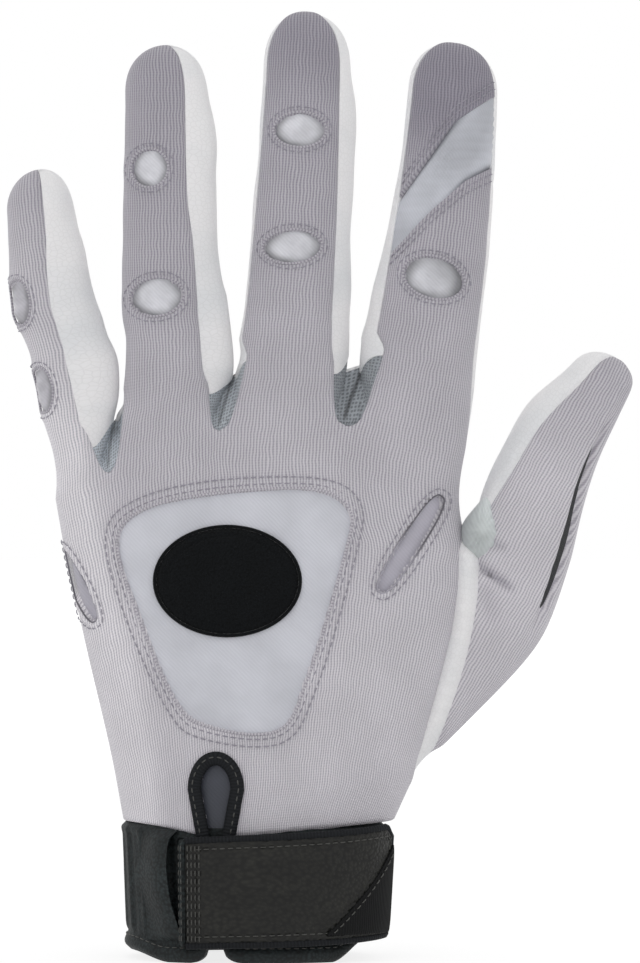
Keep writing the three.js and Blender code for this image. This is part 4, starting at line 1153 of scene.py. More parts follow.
class GLOVE_OT_finger_leather(bpy.types.Operator):
    """Leather fronts of the four fingers and the fourchettes between front and back"""

    bl_idname = "glove.finger_leather"
    bl_label = "Finger leather"

    def execute(self, context):
        for place in NAMES:
            self.front(place)
            digit = FINGERS[place]
            for end, side, word in ((0, 1, "thumbward"), (1, -1, "outward")):
                if digit["back"][end] != digit["front"][end]:
                    self.fourchette(place, side, word)
        return {"FINISHED"}

    def front(self, place):
        """Front panel: the finger's surface between its front seams, with creases at the joints."""
        digit = FINGERS[place]
        k = NAMES.index(place)
        s, t = grid(44, 120)
        v = tip_rows(t)
        angle = finger_angles(digit, s, v, -1)
        middle = np.sin(pi * s) ** 0.7
        folds = sum(bell(v, at - 0.012 * np.cos(5 * s), 0.008) for at in (0.36, 0.385, 0.66))
        base = digit_point(digit, angle, v)
        depth = 0.45 * folds * middle + groove(s, 30) * smooth(v / SEAM_OPEN)
        depth += 0.12 * ripple(base[..., 0], base[..., 1], 13, 3 + k) * smooth(v / ROOT_OPEN)
        uv = stacked(s * 30 + 40 * k, v * digit["length"])
        wall = digit_wall(digit, angle, v, depth, LEATHER_WALL, uv, pole=True)
        put(f"{place}_leather_front", wall, "leather", place, f"{place}_front")

    def fourchette(self, place, side, word):
        """Leather side strip, from a slope that rises or falls towards the next finger to the tip,
        and the mesh below that slope."""
        digit = FINGERS[place]
        here, there = WEB_CLIMB[digit["webs"][side > 0]][::side]

        def start(s):
            return mix(here, there, 0.9 * smooth((1 - s) / 0.6)) / digit["length"]

        s, t = grid(14, 100)
        v = mix(start(s), 0.995, tip_rows(t))
        self.side_wall(f"{place}_leather_fourchette_{word}", place, side, s, v, 0.3, "leather",
                       f"{place}_fourchette_{word}")
        s, t = grid(14, 30)
        v = mix(0.02, start(s) + 0.02, t)
        self.side_wall(f"{place}_mesh_side_{word}", place, side, s, v, 0.7, "mesh", "")

    def side_wall(self, name, place, side, s, v, sunk, cloth, replaced):
        """Strip ruled between the front's seam and the back's, swelling between them, most beside the
        web, and round like the finger towards its tip."""
        digit = FINGERS[place]
        back_right, back_left, front_right, front_left = seam_angles(digit, v)
        front, back = (front_right, back_right) if side > 0 else (front_left, back_left)
        opened = smooth(v / ROOT_OPEN) * (1 - smooth((v - 0.84) / 0.13))
        rounded = smooth((v - 0.7) / 0.22)[..., None]
        high = v * digit["length"]
        wave = ripple(s * 16 + 0.3 * high, 0.55 * high, 12, 5 + side + NAMES.index(place))
        flare = spline(FLARES.get((place, side), NO_FLARE), high)
        swell = side * (flare + (SIDE_BULGE + 0.4 * wave) * opened) * 4 * s * (1 - s)
        across = np.append(digit["across"], 0)

        def sheet(depth):
            edge = [digit_point(digit, a, v, sunk + depth) for a in (front, back)]
            ruled = mix(edge[0], edge[1], s[..., None]) + across * swell[..., None]
            return mix(ruled, digit_point(digit, mix(front, back, s), v, sunk + depth), rounded)

        wide, shift = 14, 25 * side
        wall = shell(sheet(0), sheet(LEATHER_WALL), stacked(s * wide + shift, high))
        # Painted shade: the side leather greys towards the front seam, and a web's mesh darkens evenly
        deep = SIDE_SHADE[place] if cloth == "leather" else 0
        even = WEB_SHADE[digit["webs"][side > 0]] if cloth == "mesh" else 0
        tone = even + deep * smooth((wide - wall[2][:, 0] + shift) / wide) ** 1.5
        put(name, wall, cloth, place, replaced, tone)


def hand_grid(steps, rows):
    """Grid over the hand from the cuff to the finger roots, with the fingers' own columns."""
    across = (1 + power_cos(np.linspace(pi, 0, steps + 1), 2 / SECTION_ROUND)) / 2
    s = [mix(ROOT_SHARE[k], ROOT_SHARE[k + 1], across[min(k, 1):]) for k in range(4)]
    return np.meshgrid(np.concatenate(s), np.linspace(0, 1, rows + 1))


def hand_ripple(s, t, base, size, seed):
    """Ripples on the hand that fade at the finger roots and at both outer edges."""
    fade = smooth((1 - t) / 0.12) * smooth(np.minimum(s, 1 - s) / 0.04)
    return ripple(base[..., 0], base[..., 1], size, seed) * fade


def hand_wall(base, depth, thick, side, uv):
    """Wall of cloth on the back (side 1) or the palm (side -1), from a depth below its surface
    inwards, that stays on its own side of the hand's plane."""
    up = side * normals(base)
    sheets = [base - up * down[..., None] for down in (depth, depth + thick)]
    for sheet in sheets:
        sheet[..., 2] = side * np.maximum(side * sheet[..., 2], 0)
    return shell(*sheets, uv)


class GLOVE_OT_hand_back(bpy.types.Operator):
    """Knit back of the hand, sunk inside the window, the slits and the keyhole"""

    bl_idname = "glove.hand_back"
    bl_label = "Hand back"

    def execute(self, context):
        s, t = hand_grid(44, 150)
        crown = cuff_crown(mix(HAND_LEFT[0][1], HAND_RIGHT[0][1], s))
        tucked = KNIT_HEM * (CUFF_TOP - crown) / CROWN_DIP
        t = mix(-tucked / 85, 1, t)
        base = hand_point(s, t, 1)
        slits = [oval_outline(cut, power=SLIT_FULL) for cut in SLITS.values()]
        depth = dip(base, [window_outline()], 0.8, 0.5, 0.3)
        depth += dip(base, slits, 1.6, 0.4, 0.35) + dip(base, [drop_outline()], 1.4, 0.5)
        depth += 0.22 * hand_ripple(s, t, base, 24, 1)
        depth += 1.1 * smooth((cuff_crown(base[..., 0]) + 0.5 - base[..., 1]) / 0.8)
        u = s * ROOT_WIDTH
        uv = stacked(turned_edges(u), base[..., 1] - base[-1:, :, 1], u)
        wall = hand_wall(base, depth, KNIT_WALL, 1, uv)
        # The knit's tone is painted shade, darker up the hand and paler at its outer edge
        put("hand_knit_back", wall, "knit", "hand", "hand_back", knit_tone(wall[2], 0))
        return {"FINISHED"}


class GLOVE_OT_palm(bpy.types.Operator):
    """Leather palm with the hand's creases, and the leather strip beside the thumb"""

    bl_idname = "glove.palm"
    bl_label = "Palm"

    def execute(self, context):
        s, t = hand_grid(36, 120)
        base = hand_point(s, t, -1)
        depth = creases(base, PALM_LINES) + 0.25 * hand_ripple(s, t, base, 21, 4)
        wall = hand_wall(base, depth, LEATHER_WALL, -1, base[..., :2] + [0, -300])
        put("palm_leather_panel", wall, "leather", "hand", "palm_leather")
        self.strip()
        return {"FINISHED"}

    def strip(self):
        """Roll of leather from a line on the hand to a line on the thumb's root, arched between them
        and thinning out at both ends."""
        s, t = grid(20, 110)
        near = [[40, 32.6], [52, 37.2], [69, 41.9], [86, 44.8], [101, 45.6]]
        far = [[40, 35.2], [50, 40.2], [64, 45.2], [76, 48.2], [88, 49.8], [101, 49.2]]
        y = mix(40.5, 100.5, t[:, :1])
        edge = [over(place, np.concatenate([spline(line, y), y], 1), -0.9)[0][:, None]
                for place, line in (("hand", near), ("thumb", far))]
        swell = np.sin(pi * s) ** 0.75 * mix(0.25, 1, smooth(t / 0.3)) * smooth((1 - t) / 0.06)
        crimp = 0.12 * np.sin(y * 1.9 + 2 * s) + 0.2 * ripple(s * 8, y, 12, 9)
        outer = mix(edge[0], edge[1], s[..., None])
        outer[..., 2] += (2.3 + crimp) * swell
        uv = stacked(s * 7, mix(150, 210, t))
        wall = shell(outer, outer - normals(outer) * LEATHER_WALL, uv)
        put("thumb_side_leather_roll", wall, "leather", "hand", "thumb_side_leather")


class GLOVE_OT_thumb(bpy.types.Operator):
    """Thumb: knit back, leather front, the slit along its outer edge and the round gusset"""

    bl_idname = "glove.thumb"
    bl_label = "Thumb"

    def execute(self, context):
        self.panel("thumb_knit_back", "thumb_back", 1)
        self.panel("thumb_leather_front", "thumb_front", -1)
        turn = np.linspace(0, 2 * pi, 160, endpoint=False)
        root = digit_point(THUMB, turn, 0.03, 1.9)
        up = unit(root - digit_point(THUMB, turn, 0.03, 2.9))
        thick = mix(0.4, 1.9, smooth((1 - np.cos(turn)) / 0.7))
        put("thumb_root_welt", tube(root, up, thick, sides=12), "leather", "hand")
        self.slit()
        self.puff()
        return {"FINISHED"}

    def panel(self, name, replaced, side):
        """Back or front panel: the thumb's surface between its seams, sunk at the seams and, on
        the back, inside the slit and along the folds beside the gusset."""
        s, t = grid(56, 130)
        v = tip_rows(t)
        angle = finger_angles(THUMB, s, v, side)
        base = digit_point(THUMB, angle, v)
        depth = groove(s, 40) * smooth(v / SEAM_OPEN) + 2 * (1 - smooth(v / 0.06))
        depth += 0.2 * ripple(base[..., 0], base[..., 1], 17, 6 + side) * smooth(v / ROOT_OPEN)
        if side > 0:
            low, high = THUMB_SLIT["from"], THUMB_SLIT["to"]
            inside = np.hypot((np.degrees(angle) - THUMB_SLIT["angle"]) / THUMB_SLIT["half"],
                              (v - (high + low) / 2) / ((high - low) / 2))
            depth += 1.7 * (1 - smooth((inside - 0.75) / 0.4)) - 0.3 * bell(inside, 1.6, 0.4)
            depth += creases(base, THUMB_FOLDS)
        across = THUMB["across"]
        share = power_cos(angle, 2 / SECTION_ROUND)
        turned = THUMB["deep"][1] * tip_round(v) * (np.arcsin(np.clip(share, -1, 1)) - share)
        uv = stacked(base[..., :2] @ across + 200 + turned, base[..., :2] @ [-across[1], across[0]])
        wall = digit_wall(THUMB, angle, v, depth, KNIT_WALL, uv, pole=True)
        if side < 0:
            put(name, wall, "leather", "thumb", replaced)
            return
        # The knit's tone is painted shade: darker higher up the thumb and in the folds beside the gusset
        tone = 0.25 + 0.23 * smooth((wall[0][:, 1] - 105) / 40) + 0.27 * creases(wall[0], THUMB_FOLDS)
        put(name, wall, "knit", "thumb", replaced, tone)

    def slit(self):
        """Patch behind the slit: an ellipse in angle and length, sunk below the thumb's surface, in a
        near-black mesh that is painted shadow.
        """
        across, along = round_grid(24, 40)
        angle = np.radians(THUMB_SLIT["angle"] + 1.12 * THUMB_SLIT["half"] * across)
        v = mix(THUMB_SLIT["from"], THUMB_SLIT["to"], (1 + 1.05 * along) / 2)
        wall = digit_wall(THUMB, angle, v, 1.5, 0.8, stacked(across * 6, along * 6))
        put("thumb_slit_mesh", wall, "thumb_slit", "thumb", "thumb_slit_insert")

    def puff(self):
        """Round gusset where thumb and hand part: half an ellipsoid that slims upwards, with pleats
        that run out from its middle."""
        u, v = round_grid(40, 40)
        away = np.hypot(u, v)
        pleat = 1 + 0.06 * np.sin(13 * np.arctan2(v, u) + 3 * away) * smooth(away / 0.5) * (1 - away ** 4)
        high = np.sqrt(np.maximum(0, 1 - away ** 2)) * pleat
        turn = math.radians(THUMB_PUFF["turn"])
        slim = 1 - 0.45 * smooth((v + 0.2) / 1.2)
        x, y, z = np.array(THUMB_PUFF["half"])[:, None, None] * [u * slim, v, high * slim]
        flat = [x * math.cos(turn) - y * math.sin(turn), x * math.sin(turn) + y * math.cos(turn), z]
        outer = np.stack(flat, -1) + THUMB_PUFF["centre"]
        wall = shell(outer, outer - [0, 0, 1.2], stacked(u * 4, v * 6))
        # The tone is painted shade, darker towards one side and the foot of the puff
        tone = 0.3 * smooth((0.5 - wall[2][:, 0] / 4 - wall[2][:, 1] / 12) / 1.2)
        put("thumb_gusset_cloth", wall, "gusset", "thumb", "thumb_web_gusset", tone)


class GLOVE_OT_knuckle_inserts(bpy.types.Operator):
    """Stretch inserts behind the knuckle openings, with rolled edges and a ring of stitches"""

    bl_idname = "glove.knuckle_inserts"
    bl_label = "Knuckle inserts"

    def execute(self, context):
        for place, cuts in KNUCKLES.items():
            rims, rows = [], []
            for number, cut in enumerate(cuts, 1):
                wall = patch(place, oval_outline(cut, 0.5), self.puckered, 40)
                x, y = (wall[0][:, :2] - cut[:2]).T / np.array([[cut[2]], [cut[3]]])
                # The tone is painted shade: dark crescents where the cloth tucks under the knit's edge, and
                # a darker side turned from the light
                tuck = 0.8 * smooth((0.3 - x - 0.35 * y) / 0.9) + 0.5 * smooth((x - 0.1) / 0.7)
                turned = GLANCE[place] * smooth((x + 0.4 * y + 0.3) / 1.2)
                tone = np.clip(tuck * smooth((np.hypot(x, y) - 0.5) / 0.5) + turned, 0, 0.9)
                cloth = "pale_insert" if place == "little" else "insert"
                put(f"{place}_knuckle_cloth_{number}", wall, cloth, place,
                    f"{place}_knuckle_insert_{number}", tone)
                rims.append(tube(*over(place, oval_outline(cut, 0.3)[1], 0.1), millimetres().rim))
                rows.append(stitches(*over(place, oval_outline(cut, 1.5)[1], 0.3), closed=True))
            # The rims carry a fixed painted shade like that of the knit round them
            put(f"{place}_knuckle_rims", joined(rims), "knit", place, tone=0.58)
            put(f"{place}_knuckle_stitching", joined(rows), "grey_thread", place)
        self.band_rows()
        return {"FINISHED"}

    def puckered(self, flat, out):
        """Low dome with short folds that run in from its edge."""
        x, y = flat[..., 0], flat[..., 1]
        fold = ripple(x, y, 3.4, 11) + 0.6 * np.sin(2.2 * y + 1.3 * x)
        return -0.55 + (0.5 + 0.3 * fold) * (1 - out ** 2)

    def band_rows(self):
        """Two rows of stitches along each edge of the band across the index finger."""
        digit = FINGERS["index"]
        s = np.linspace(0.04, 0.96, 45)
        columns = np.linspace(0, 1, FINGER_COLUMNS + 1)
        rows = []
        for edge, away in ((BAND_LOW, -1), (BAND_TOP, 1)):
            for gap in (0.016, 0.034):
                v = np.interp(s, columns, band_share(edge)) + away * gap
                angle = finger_angles(digit, s, v, 1)
                line = digit_point(digit, angle, v, -0.05)
                rows.append(stitches(line, unit(line - digit_point(digit, angle, v, 1))))
        put("index_band_stitching", joined(rows), "grey_thread", "index")


class GLOVE_OT_window(bpy.types.Operator):
    """Window of stretch cloth in the back, with a rolled edge, double stitching and the plush badge"""

    bl_idname = "glove.window"
    bl_label = "Window and badge"

    def execute(self, context):
        wall = patch("hand", window_outline(0.7), self.cloth, 90)
        put("window_stretch_cloth", wall, "window", "hand", "vent_insert")
        rim = tube(*over("hand", window_outline(0.4)[1], 0.1), millimetres().rim)
        # The rim carries a fixed painted shade like that of the knit round it
        put("window_rim", rim, "knit", "hand", tone=0.45)
        rows = [stitches(*over("hand", window_outline(gap)[1], 0.2), closed=True) for gap in (1.6, 3.4)]
        put("window_stitching", joined(rows), "grey_thread", "hand")
        wall = patch("hand", oval_outline(BADGE), self.plush, 60, wall=1.0)
        put("oval_badge_plush", wall, "badge", "hand", "oval_badge")
        put("oval_badge_edge", tube(*over("hand", oval_outline(BADGE, 0.1)[1]), 0.45), "badge", "hand")
        return {"FINISHED"}

    def cloth(self, flat, out):
        """Sunk cloth with pulled folds that run out from the badge and fade at the edge."""
        x, y = flat[..., 0] - BADGE[0], flat[..., 1] - BADGE[1]
        spoke = np.sin(5 * np.arctan2(y, x) + 0.06 * y + 1.2)
        near = bell(np.maximum(0, gap_to(flat, oval_outline(BADGE))), 0, 10)
        return -0.5 + (0.22 * spoke * near + 0.15 * ripple(x, y, 14, 8)) * (1 - out ** 6)

    def plush(self, flat, out):
        """Flat-topped pad with a rounded edge and one shallow pressed oval line."""
        return 1.1 * (1 - out ** 10) - 0.25 * bell(out, 0.82, 0.03) - 0.3


class GLOVE_OT_slits(bpy.types.Operator):
    """The two slits in the sides of the back, with cloth behind them, and the keyhole"""

    bl_idname = "glove.slits"
    bl_label = "Slits and keyhole"

    def execute(self, context):
        rims, dark, rows = [], [], []
        for name, cut in SLITS.items():
            outline = oval_outline(cut, 0.6, SLIT_FULL)
            wall = patch("hand", outline, lambda flat, out: -1.25 + 0.3 * (1 - out ** 2), 30)
            # The cloth's tone is painted shadow along the slit's edges, deeper on its shadow side
            out = smooth(gap_to(wall[0], outline) / 1.3 + 1)
            put(f"{name}_side_slit_mesh", wall, "slit", "hand", f"{name}_side_slit_insert",
                np.clip(out * (0.75 + 0.3 * self.lean(name, wall[0])), 0, 1))
            # Thin rims along the slit's edge, darkened as painted shadow towards its shadow side
            line, up = over("hand", oval_outline(cut, 0.2, SLIT_FULL)[1])
            rims.append(tube(line, up, 0.7 * millimetres().rim))
            dark.append(np.clip(0.7 + 0.4 * self.lean(name, rims[-1][0]), 0, 1))
            line, up = over("hand", oval_outline(cut, 1.7, SLIT_FULL)[1], 0.3)
            rows.append(stitches(line, up, closed=True))
        put("side_slit_rims", joined(rims), "slit", "hand", tone=np.concatenate(dark))
        put("side_slit_stitching", joined(rows), "grey_thread", "hand")
        self.keyhole()
        return {"FINISHED"}

    def lean(self, name, points):
        """How far points lie towards a slit's shadow, from -1 to 1."""
        cut = SLITS[name]
        return np.clip((points[:, :2] - cut[:2]) @ SLIT_DARK[name] / cut[2], -1, 1)

    def keyhole(self):
        """Cloth tongue behind the keyhole, and a flattened cord of binding round its edge."""
        wall = patch("hand", drop_outline(0.8), lambda flat, out: -1.0 + 0.25 * (1 - out ** 2), 36)
        put("keyhole_tongue_cloth", wall, "tongue", "hand", "keyhole_tongue")
        wall = band_cloth((CUFF_LEFT[0] + 2, CUFF_RIGHT[1] - 2), lambda s: (9.0, CUFF_HEIGHT - 1),
                          lambda s, t, y, degrees: 0.1 * np.sin(y) - 0.9, -1.6, 16, 40)
        put("wrist_slit_backing", wall, "cuff", "hand")
        line, up = over("hand", drop_outline(1.15)[1], 0.45)
        put("keyhole_binding_tape", tube(line, up, 1.65, sides=14, closed=False, flatten=0.65), "binding",
            "hand", "keyhole_binding")
        put("keyhole_stitching", stitches(*over("hand", drop_outline(1.5)[1], 1.35)), "black_thread", "hand")


class GLOVE_OT_webs(bpy.types.Operator):
    """Mesh gussets between the fingers and the leather webs behind them"""

    bl_idname = "glove.webs"
    bl_label = "Web gussets"

    def execute(self, context):
        for k in (1, 2, 3):
            self.web(k)
        return {"FINISHED"}

    def web(self, k):
        """Mesh hung between the edges of two fingers' knit, deeper towards its top edge, and a leather fan
        from that edge down to the palm. Each is made in two halves that meet on the web's line."""
        fingers = NAMES[k - 1], NAMES[k]
        pair = "_".join(fingers)
        line = np.array([WEB_LEAN[k], 1]) / math.hypot(WEB_LEAN[k], 1)
        across = np.array([line[1], -line[0]])
        palm = np.array([*WEBS[k], -WEB_RISE[k] - 1])

        def edges(r):
            """Both edges of the mesh at a share of its climb, and the share at which the web's line
            lies between them."""
            ends = []
            for side, (finger, high) in enumerate(zip(fingers, WEB_CLIMB[k])):
                digit = FINGERS[finger]
                v = (0.15 + r * high) / digit["length"]
                angle = seam_angles(digit, v)[side]
                ends.append(digit_point(digit, angle + (0.06 if side == 0 else -0.06), v, 1.0))
            left, right = [(end[..., :2] - WEBS[k]) @ across for end in ends]
            return ends, left / (left - right)

        def hung(s, r):
            ends, middle = edges(r)
            sheet = mix(*ends, s[..., None])
            belly = np.sin(np.where(s < middle, s / middle, (1 - s) / (1 - middle)) * pi / 2)
            sheet[..., 2] -= 8 * r * belly ** 0.8 * smooth(r / 0.5)
            sheet[..., 2] += 1.1 * np.sin(9 * (s - 0.5) + 3 * r) * belly * smooth(r / 0.6)
            return sheet

        def fan(s, r):
            sheet = mix(hung(s, np.ones_like(r)), palm, r[..., None])
            sheet[..., :2] += 2.0 * np.sin(pi * r)[..., None] * line
            return sheet

        share, rise = grid(16, 36)
        for cloth, make, middle, replaced in (
            ("mesh", hung, edges(rise)[1], f"web_gusset_{pair}"),
            ("leather", fan, edges(np.ones_like(rise))[1], ""),
        ):
            for side, finger in enumerate(fingers):
                s = mix(middle, 1, share) if side else mix(0, middle, share)
                outer = make(s, rise)
                uv = stacked(s * 9, rise * 13 + 20 * k)
                wall = shell(outer, outer - normals(outer) * 0.7, uv)
                tone = None
                # Painted shade on the mesh: darker by web, with a dark fold line
                if cloth == "mesh":
                    fold = bell(s, mix(0.35, 0.62, rise), 0.05) * smooth(rise / 0.25)
                    tone = np.tile(np.clip(WEB_SHADE[k] + 0.5 * fold, 0, 0.95).ravel(), 2)
                piece = put(f"{pair}_web_{cloth}_{finger}", wall, cloth, replaced="" if side else replaced,
                            tone=tone)
                self.tie(piece, k, finger, side, across if side else -across)

    def tie(self, piece, k, finger, side, outward):
        """Hands a half web to bend with its finger and two points across it: the edge of the notch's round
        bottom, and a point further out by the knit's spread."""
        near = WEBS[k] + WEB_BLUNT[k][side] * outward
        bend(piece, finger, near, near + BLEND_REACH * WEB_SPREAD[k][side] * outward)


# Cuff and strap
def cuff_rim(degrees):
    """Height of the cuff's lower edge: level at the back and the palm, higher at both sides, and
    rounded up at the two corners beside the wrist slit."""
    outward = np.cos(np.radians(degrees))
    rise = np.where(outward < 0, CUFF_RISE["left"], CUFF_RISE["right"])
    side = rise * smooth((np.abs(outward) - CUFF_FLAT[0]) / (CUFF_FLAT[1] - CUFF_FLAT[0]))
    corner = np.minimum(np.abs(degrees - CUFF_LEFT[0]), np.abs(degrees - CUFF_RIGHT[1]))
    return side + 3.2 * (1 - np.sqrt(1 - (1 - np.clip(corner / 9, 0, 1)) ** 2 * 0.999))


def cuff_wall(angle, y, rise, inside, u):
    """Wall of cloth on the cuff between two heights above its surface, with u as its map across."""
    return shell(cuff_point(angle, y, -rise), cuff_point(angle, y, -inside), stacked(u, y))


def cuff_line(degrees, y, rise):
    """Line at a height above the cuff's surface, and its normals."""
    angle = np.radians(degrees)
    line = cuff_point(angle, y, -rise)
    return line, unit(line - cuff_point(angle, y, 0))


def cuff_cloth(name, replaced, span, columns, fold):
    """Padded cuff panel between two angles: the wrist's surface with a thick hem at the lower edge,
    a rolled upper edge and the folds that fold gives."""
    s, t = grid(columns, 60)
    degrees = mix(*span, s)
    bottom = cuff_rim(degrees)
    angle = np.radians(degrees)
    crown = cuff_crown(cuff_point(angle, CUFF_HEIGHT, 0)[..., 0])
    top = mix(CUFF_TOP, crown, smooth(np.sin(angle) / 0.3))
    y = mix(bottom, top, t)
    above, below = y - bottom, top - y
    rise = 0.8 * bell(above, 1.9, 1.5) - 0.35 * bell(above, 4.4, 0.6)
    rise += 0.4 * bell(below, 1.3, 1.0)
    rise += fold(degrees, y) * smooth((above - 3) / 4) * smooth(below / 2.5)
    edge = np.minimum(np.minimum(s, 1 - s) * np.ptp(span) * 0.5, np.minimum(above, below))
    rise -= 0.7 * bell(edge, 0, 0.6)
    piece = put(name, cuff_wall(angle, y, rise, -CUFF_WALL, degrees * 0.5), "cuff", None, replaced)
    carry(piece, "hand")


def left_folds(degrees, y):
    """Upright wrinkles of the left lobe."""
    wrinkle = np.sin(degrees * 0.42 + 0.12 * y + 1.5 * np.sin(y * 0.16))
    return 0.22 * (wrinkle + 0.6 * np.sin(degrees * 0.8 - 0.1 * y))


def right_folds(degrees, y):
    """Shallow upright ripples."""
    return 0.15 * np.sin(degrees * 0.3 + 0.1 * y) + 0.1 * np.sin(degrees * 0.71 - 0.2 * y + 1)


def palm_folds(degrees, y):
    """Gathers drawn in by the elastic, strongest at its height."""
    return 0.3 * bell(y, 19, 8) * np.sin(degrees * 1.25 + 0.05 * y)


class GLOVE_OT_cuff(bpy.types.Operator):
    """Padded cuff: two lobes, the palm band, the gathered elastic and the hem's stitching"""

    bl_idname = "glove.cuff"
    bl_label = "Cuff"

    def execute(self, context):
        cuff_cloth("cuff_left_pad", "cuff_left_lobe", CUFF_LEFT, 150, left_folds)
        cuff_cloth("cuff_right_pad", "cuff_right_lobe", CUFF_RIGHT, 160, right_folds)
        cuff_cloth("cuff_palm_pad", "cuff_palm_band", CUFF_PALM, 80, palm_folds)
        rows = []
        for low, high in (CUFF_LEFT, CUFF_RIGHT, CUFF_PALM):
            degrees = np.linspace(low + 2, high - 2, 90)
            angle, y = np.radians(degrees), cuff_rim(degrees) + HEM_SEAM
            line = cuff_point(angle, y, -0.1)
            rows.append(stitches(line, line - cuff_point(angle, y, 1)))
        put("cuff_hem_stitching", joined(rows), "black_thread", "hand")
        self.flap()
        self.elastic()
        return {"FINISHED"}

    def flap(self):
        """Loose fold of the left lobe: it rises from the lobe's surface to a curved free edge."""
        s, t = grid(40, 60)
        y = mix(5.2, cuff_crown(-24.0) - 0.2, t)
        edge = spline(FLAP_EDGE, y)
        x = mix(edge - 9.5, edge, s)
        left, right = (mix(*CUFF_EDGES[key], y / CUFF_HEIGHT) for key in ("left", "right"))
        share = (2 * x - left - right) / (right - left)
        angle = np.arccos(np.clip(np.sign(share) * np.abs(share) ** (HAND_ROUND / 2), -1, 1))
        wave = 0.25 * np.sin(0.45 * y + 1.4 * s) * s
        open_by = smooth(s / 0.95) * smooth(t / 0.1 + 0.35) * smooth((1 - t) / 0.12 + 0.3)
        rise = 0.1 + 3.3 * open_by + wave
        thick = 1.1 * np.sqrt(np.maximum(0.02, 1 - np.maximum(0, (s - 0.93) / 0.07) ** 2))
        put("cuff_left_flap", cuff_wall(angle, y, rise, rise - thick, s * 10 + 90), "cuff", "hand")

    def elastic(self):
        """Elastic tape over the palm side, gathered into close upright pleats."""
        s, t = grid(260, 16)
        degrees = mix(ELASTIC["from"], ELASTIC["to"], s)
        y = mix(ELASTIC["low"], ELASTIC["high"], t)
        rounding = 1 - np.abs(2 * t - 1) ** 6
        pleat = 0.28 * np.sin(degrees * 2.6 + 0.3 * np.sin(y)) * smooth(np.minimum(s, 1 - s) / 0.02)
        rise = 0.55 + (0.85 + pleat) * rounding
        wall = cuff_wall(np.radians(degrees), y, rise, 0.3, degrees * 0.45)
        put("wrist_elastic_tape", wall, "elastic", "hand", "wrist_elastic")


def strap_edge(s):
    """Lower and upper edge of the strap at share s from its root; its upper free corner is cut."""
    low, high = mix(*STRAP["low"], s), mix(*STRAP["high"], s)
    return low, high - 2.4 * smooth((s - 0.92) / 0.08)


def root_rise(s):
    """Height of the strap's sewn root above the cuff at share s towards the strap."""
    return mix(0.7, 3.9, smooth(s / 0.9))


def edge_gap(s, t, wide, high):
    """Millimetres to the nearest edge of a band of that size."""
    return np.minimum(np.minimum(s, 1 - s) * wide, np.minimum(t, 1 - t) * high)


def band_cloth(span, edges, rise, inside, columns, rows):
    """Band round the cuff between two angles and two heights, from one height above the cuff's
    surface to another."""
    s, t = grid(columns, rows)
    y = mix(*edges(s), t)
    degrees = mix(*span, s)
    return cuff_wall(np.radians(degrees), y, rise(s, t, y, degrees), inside, degrees * 0.5)


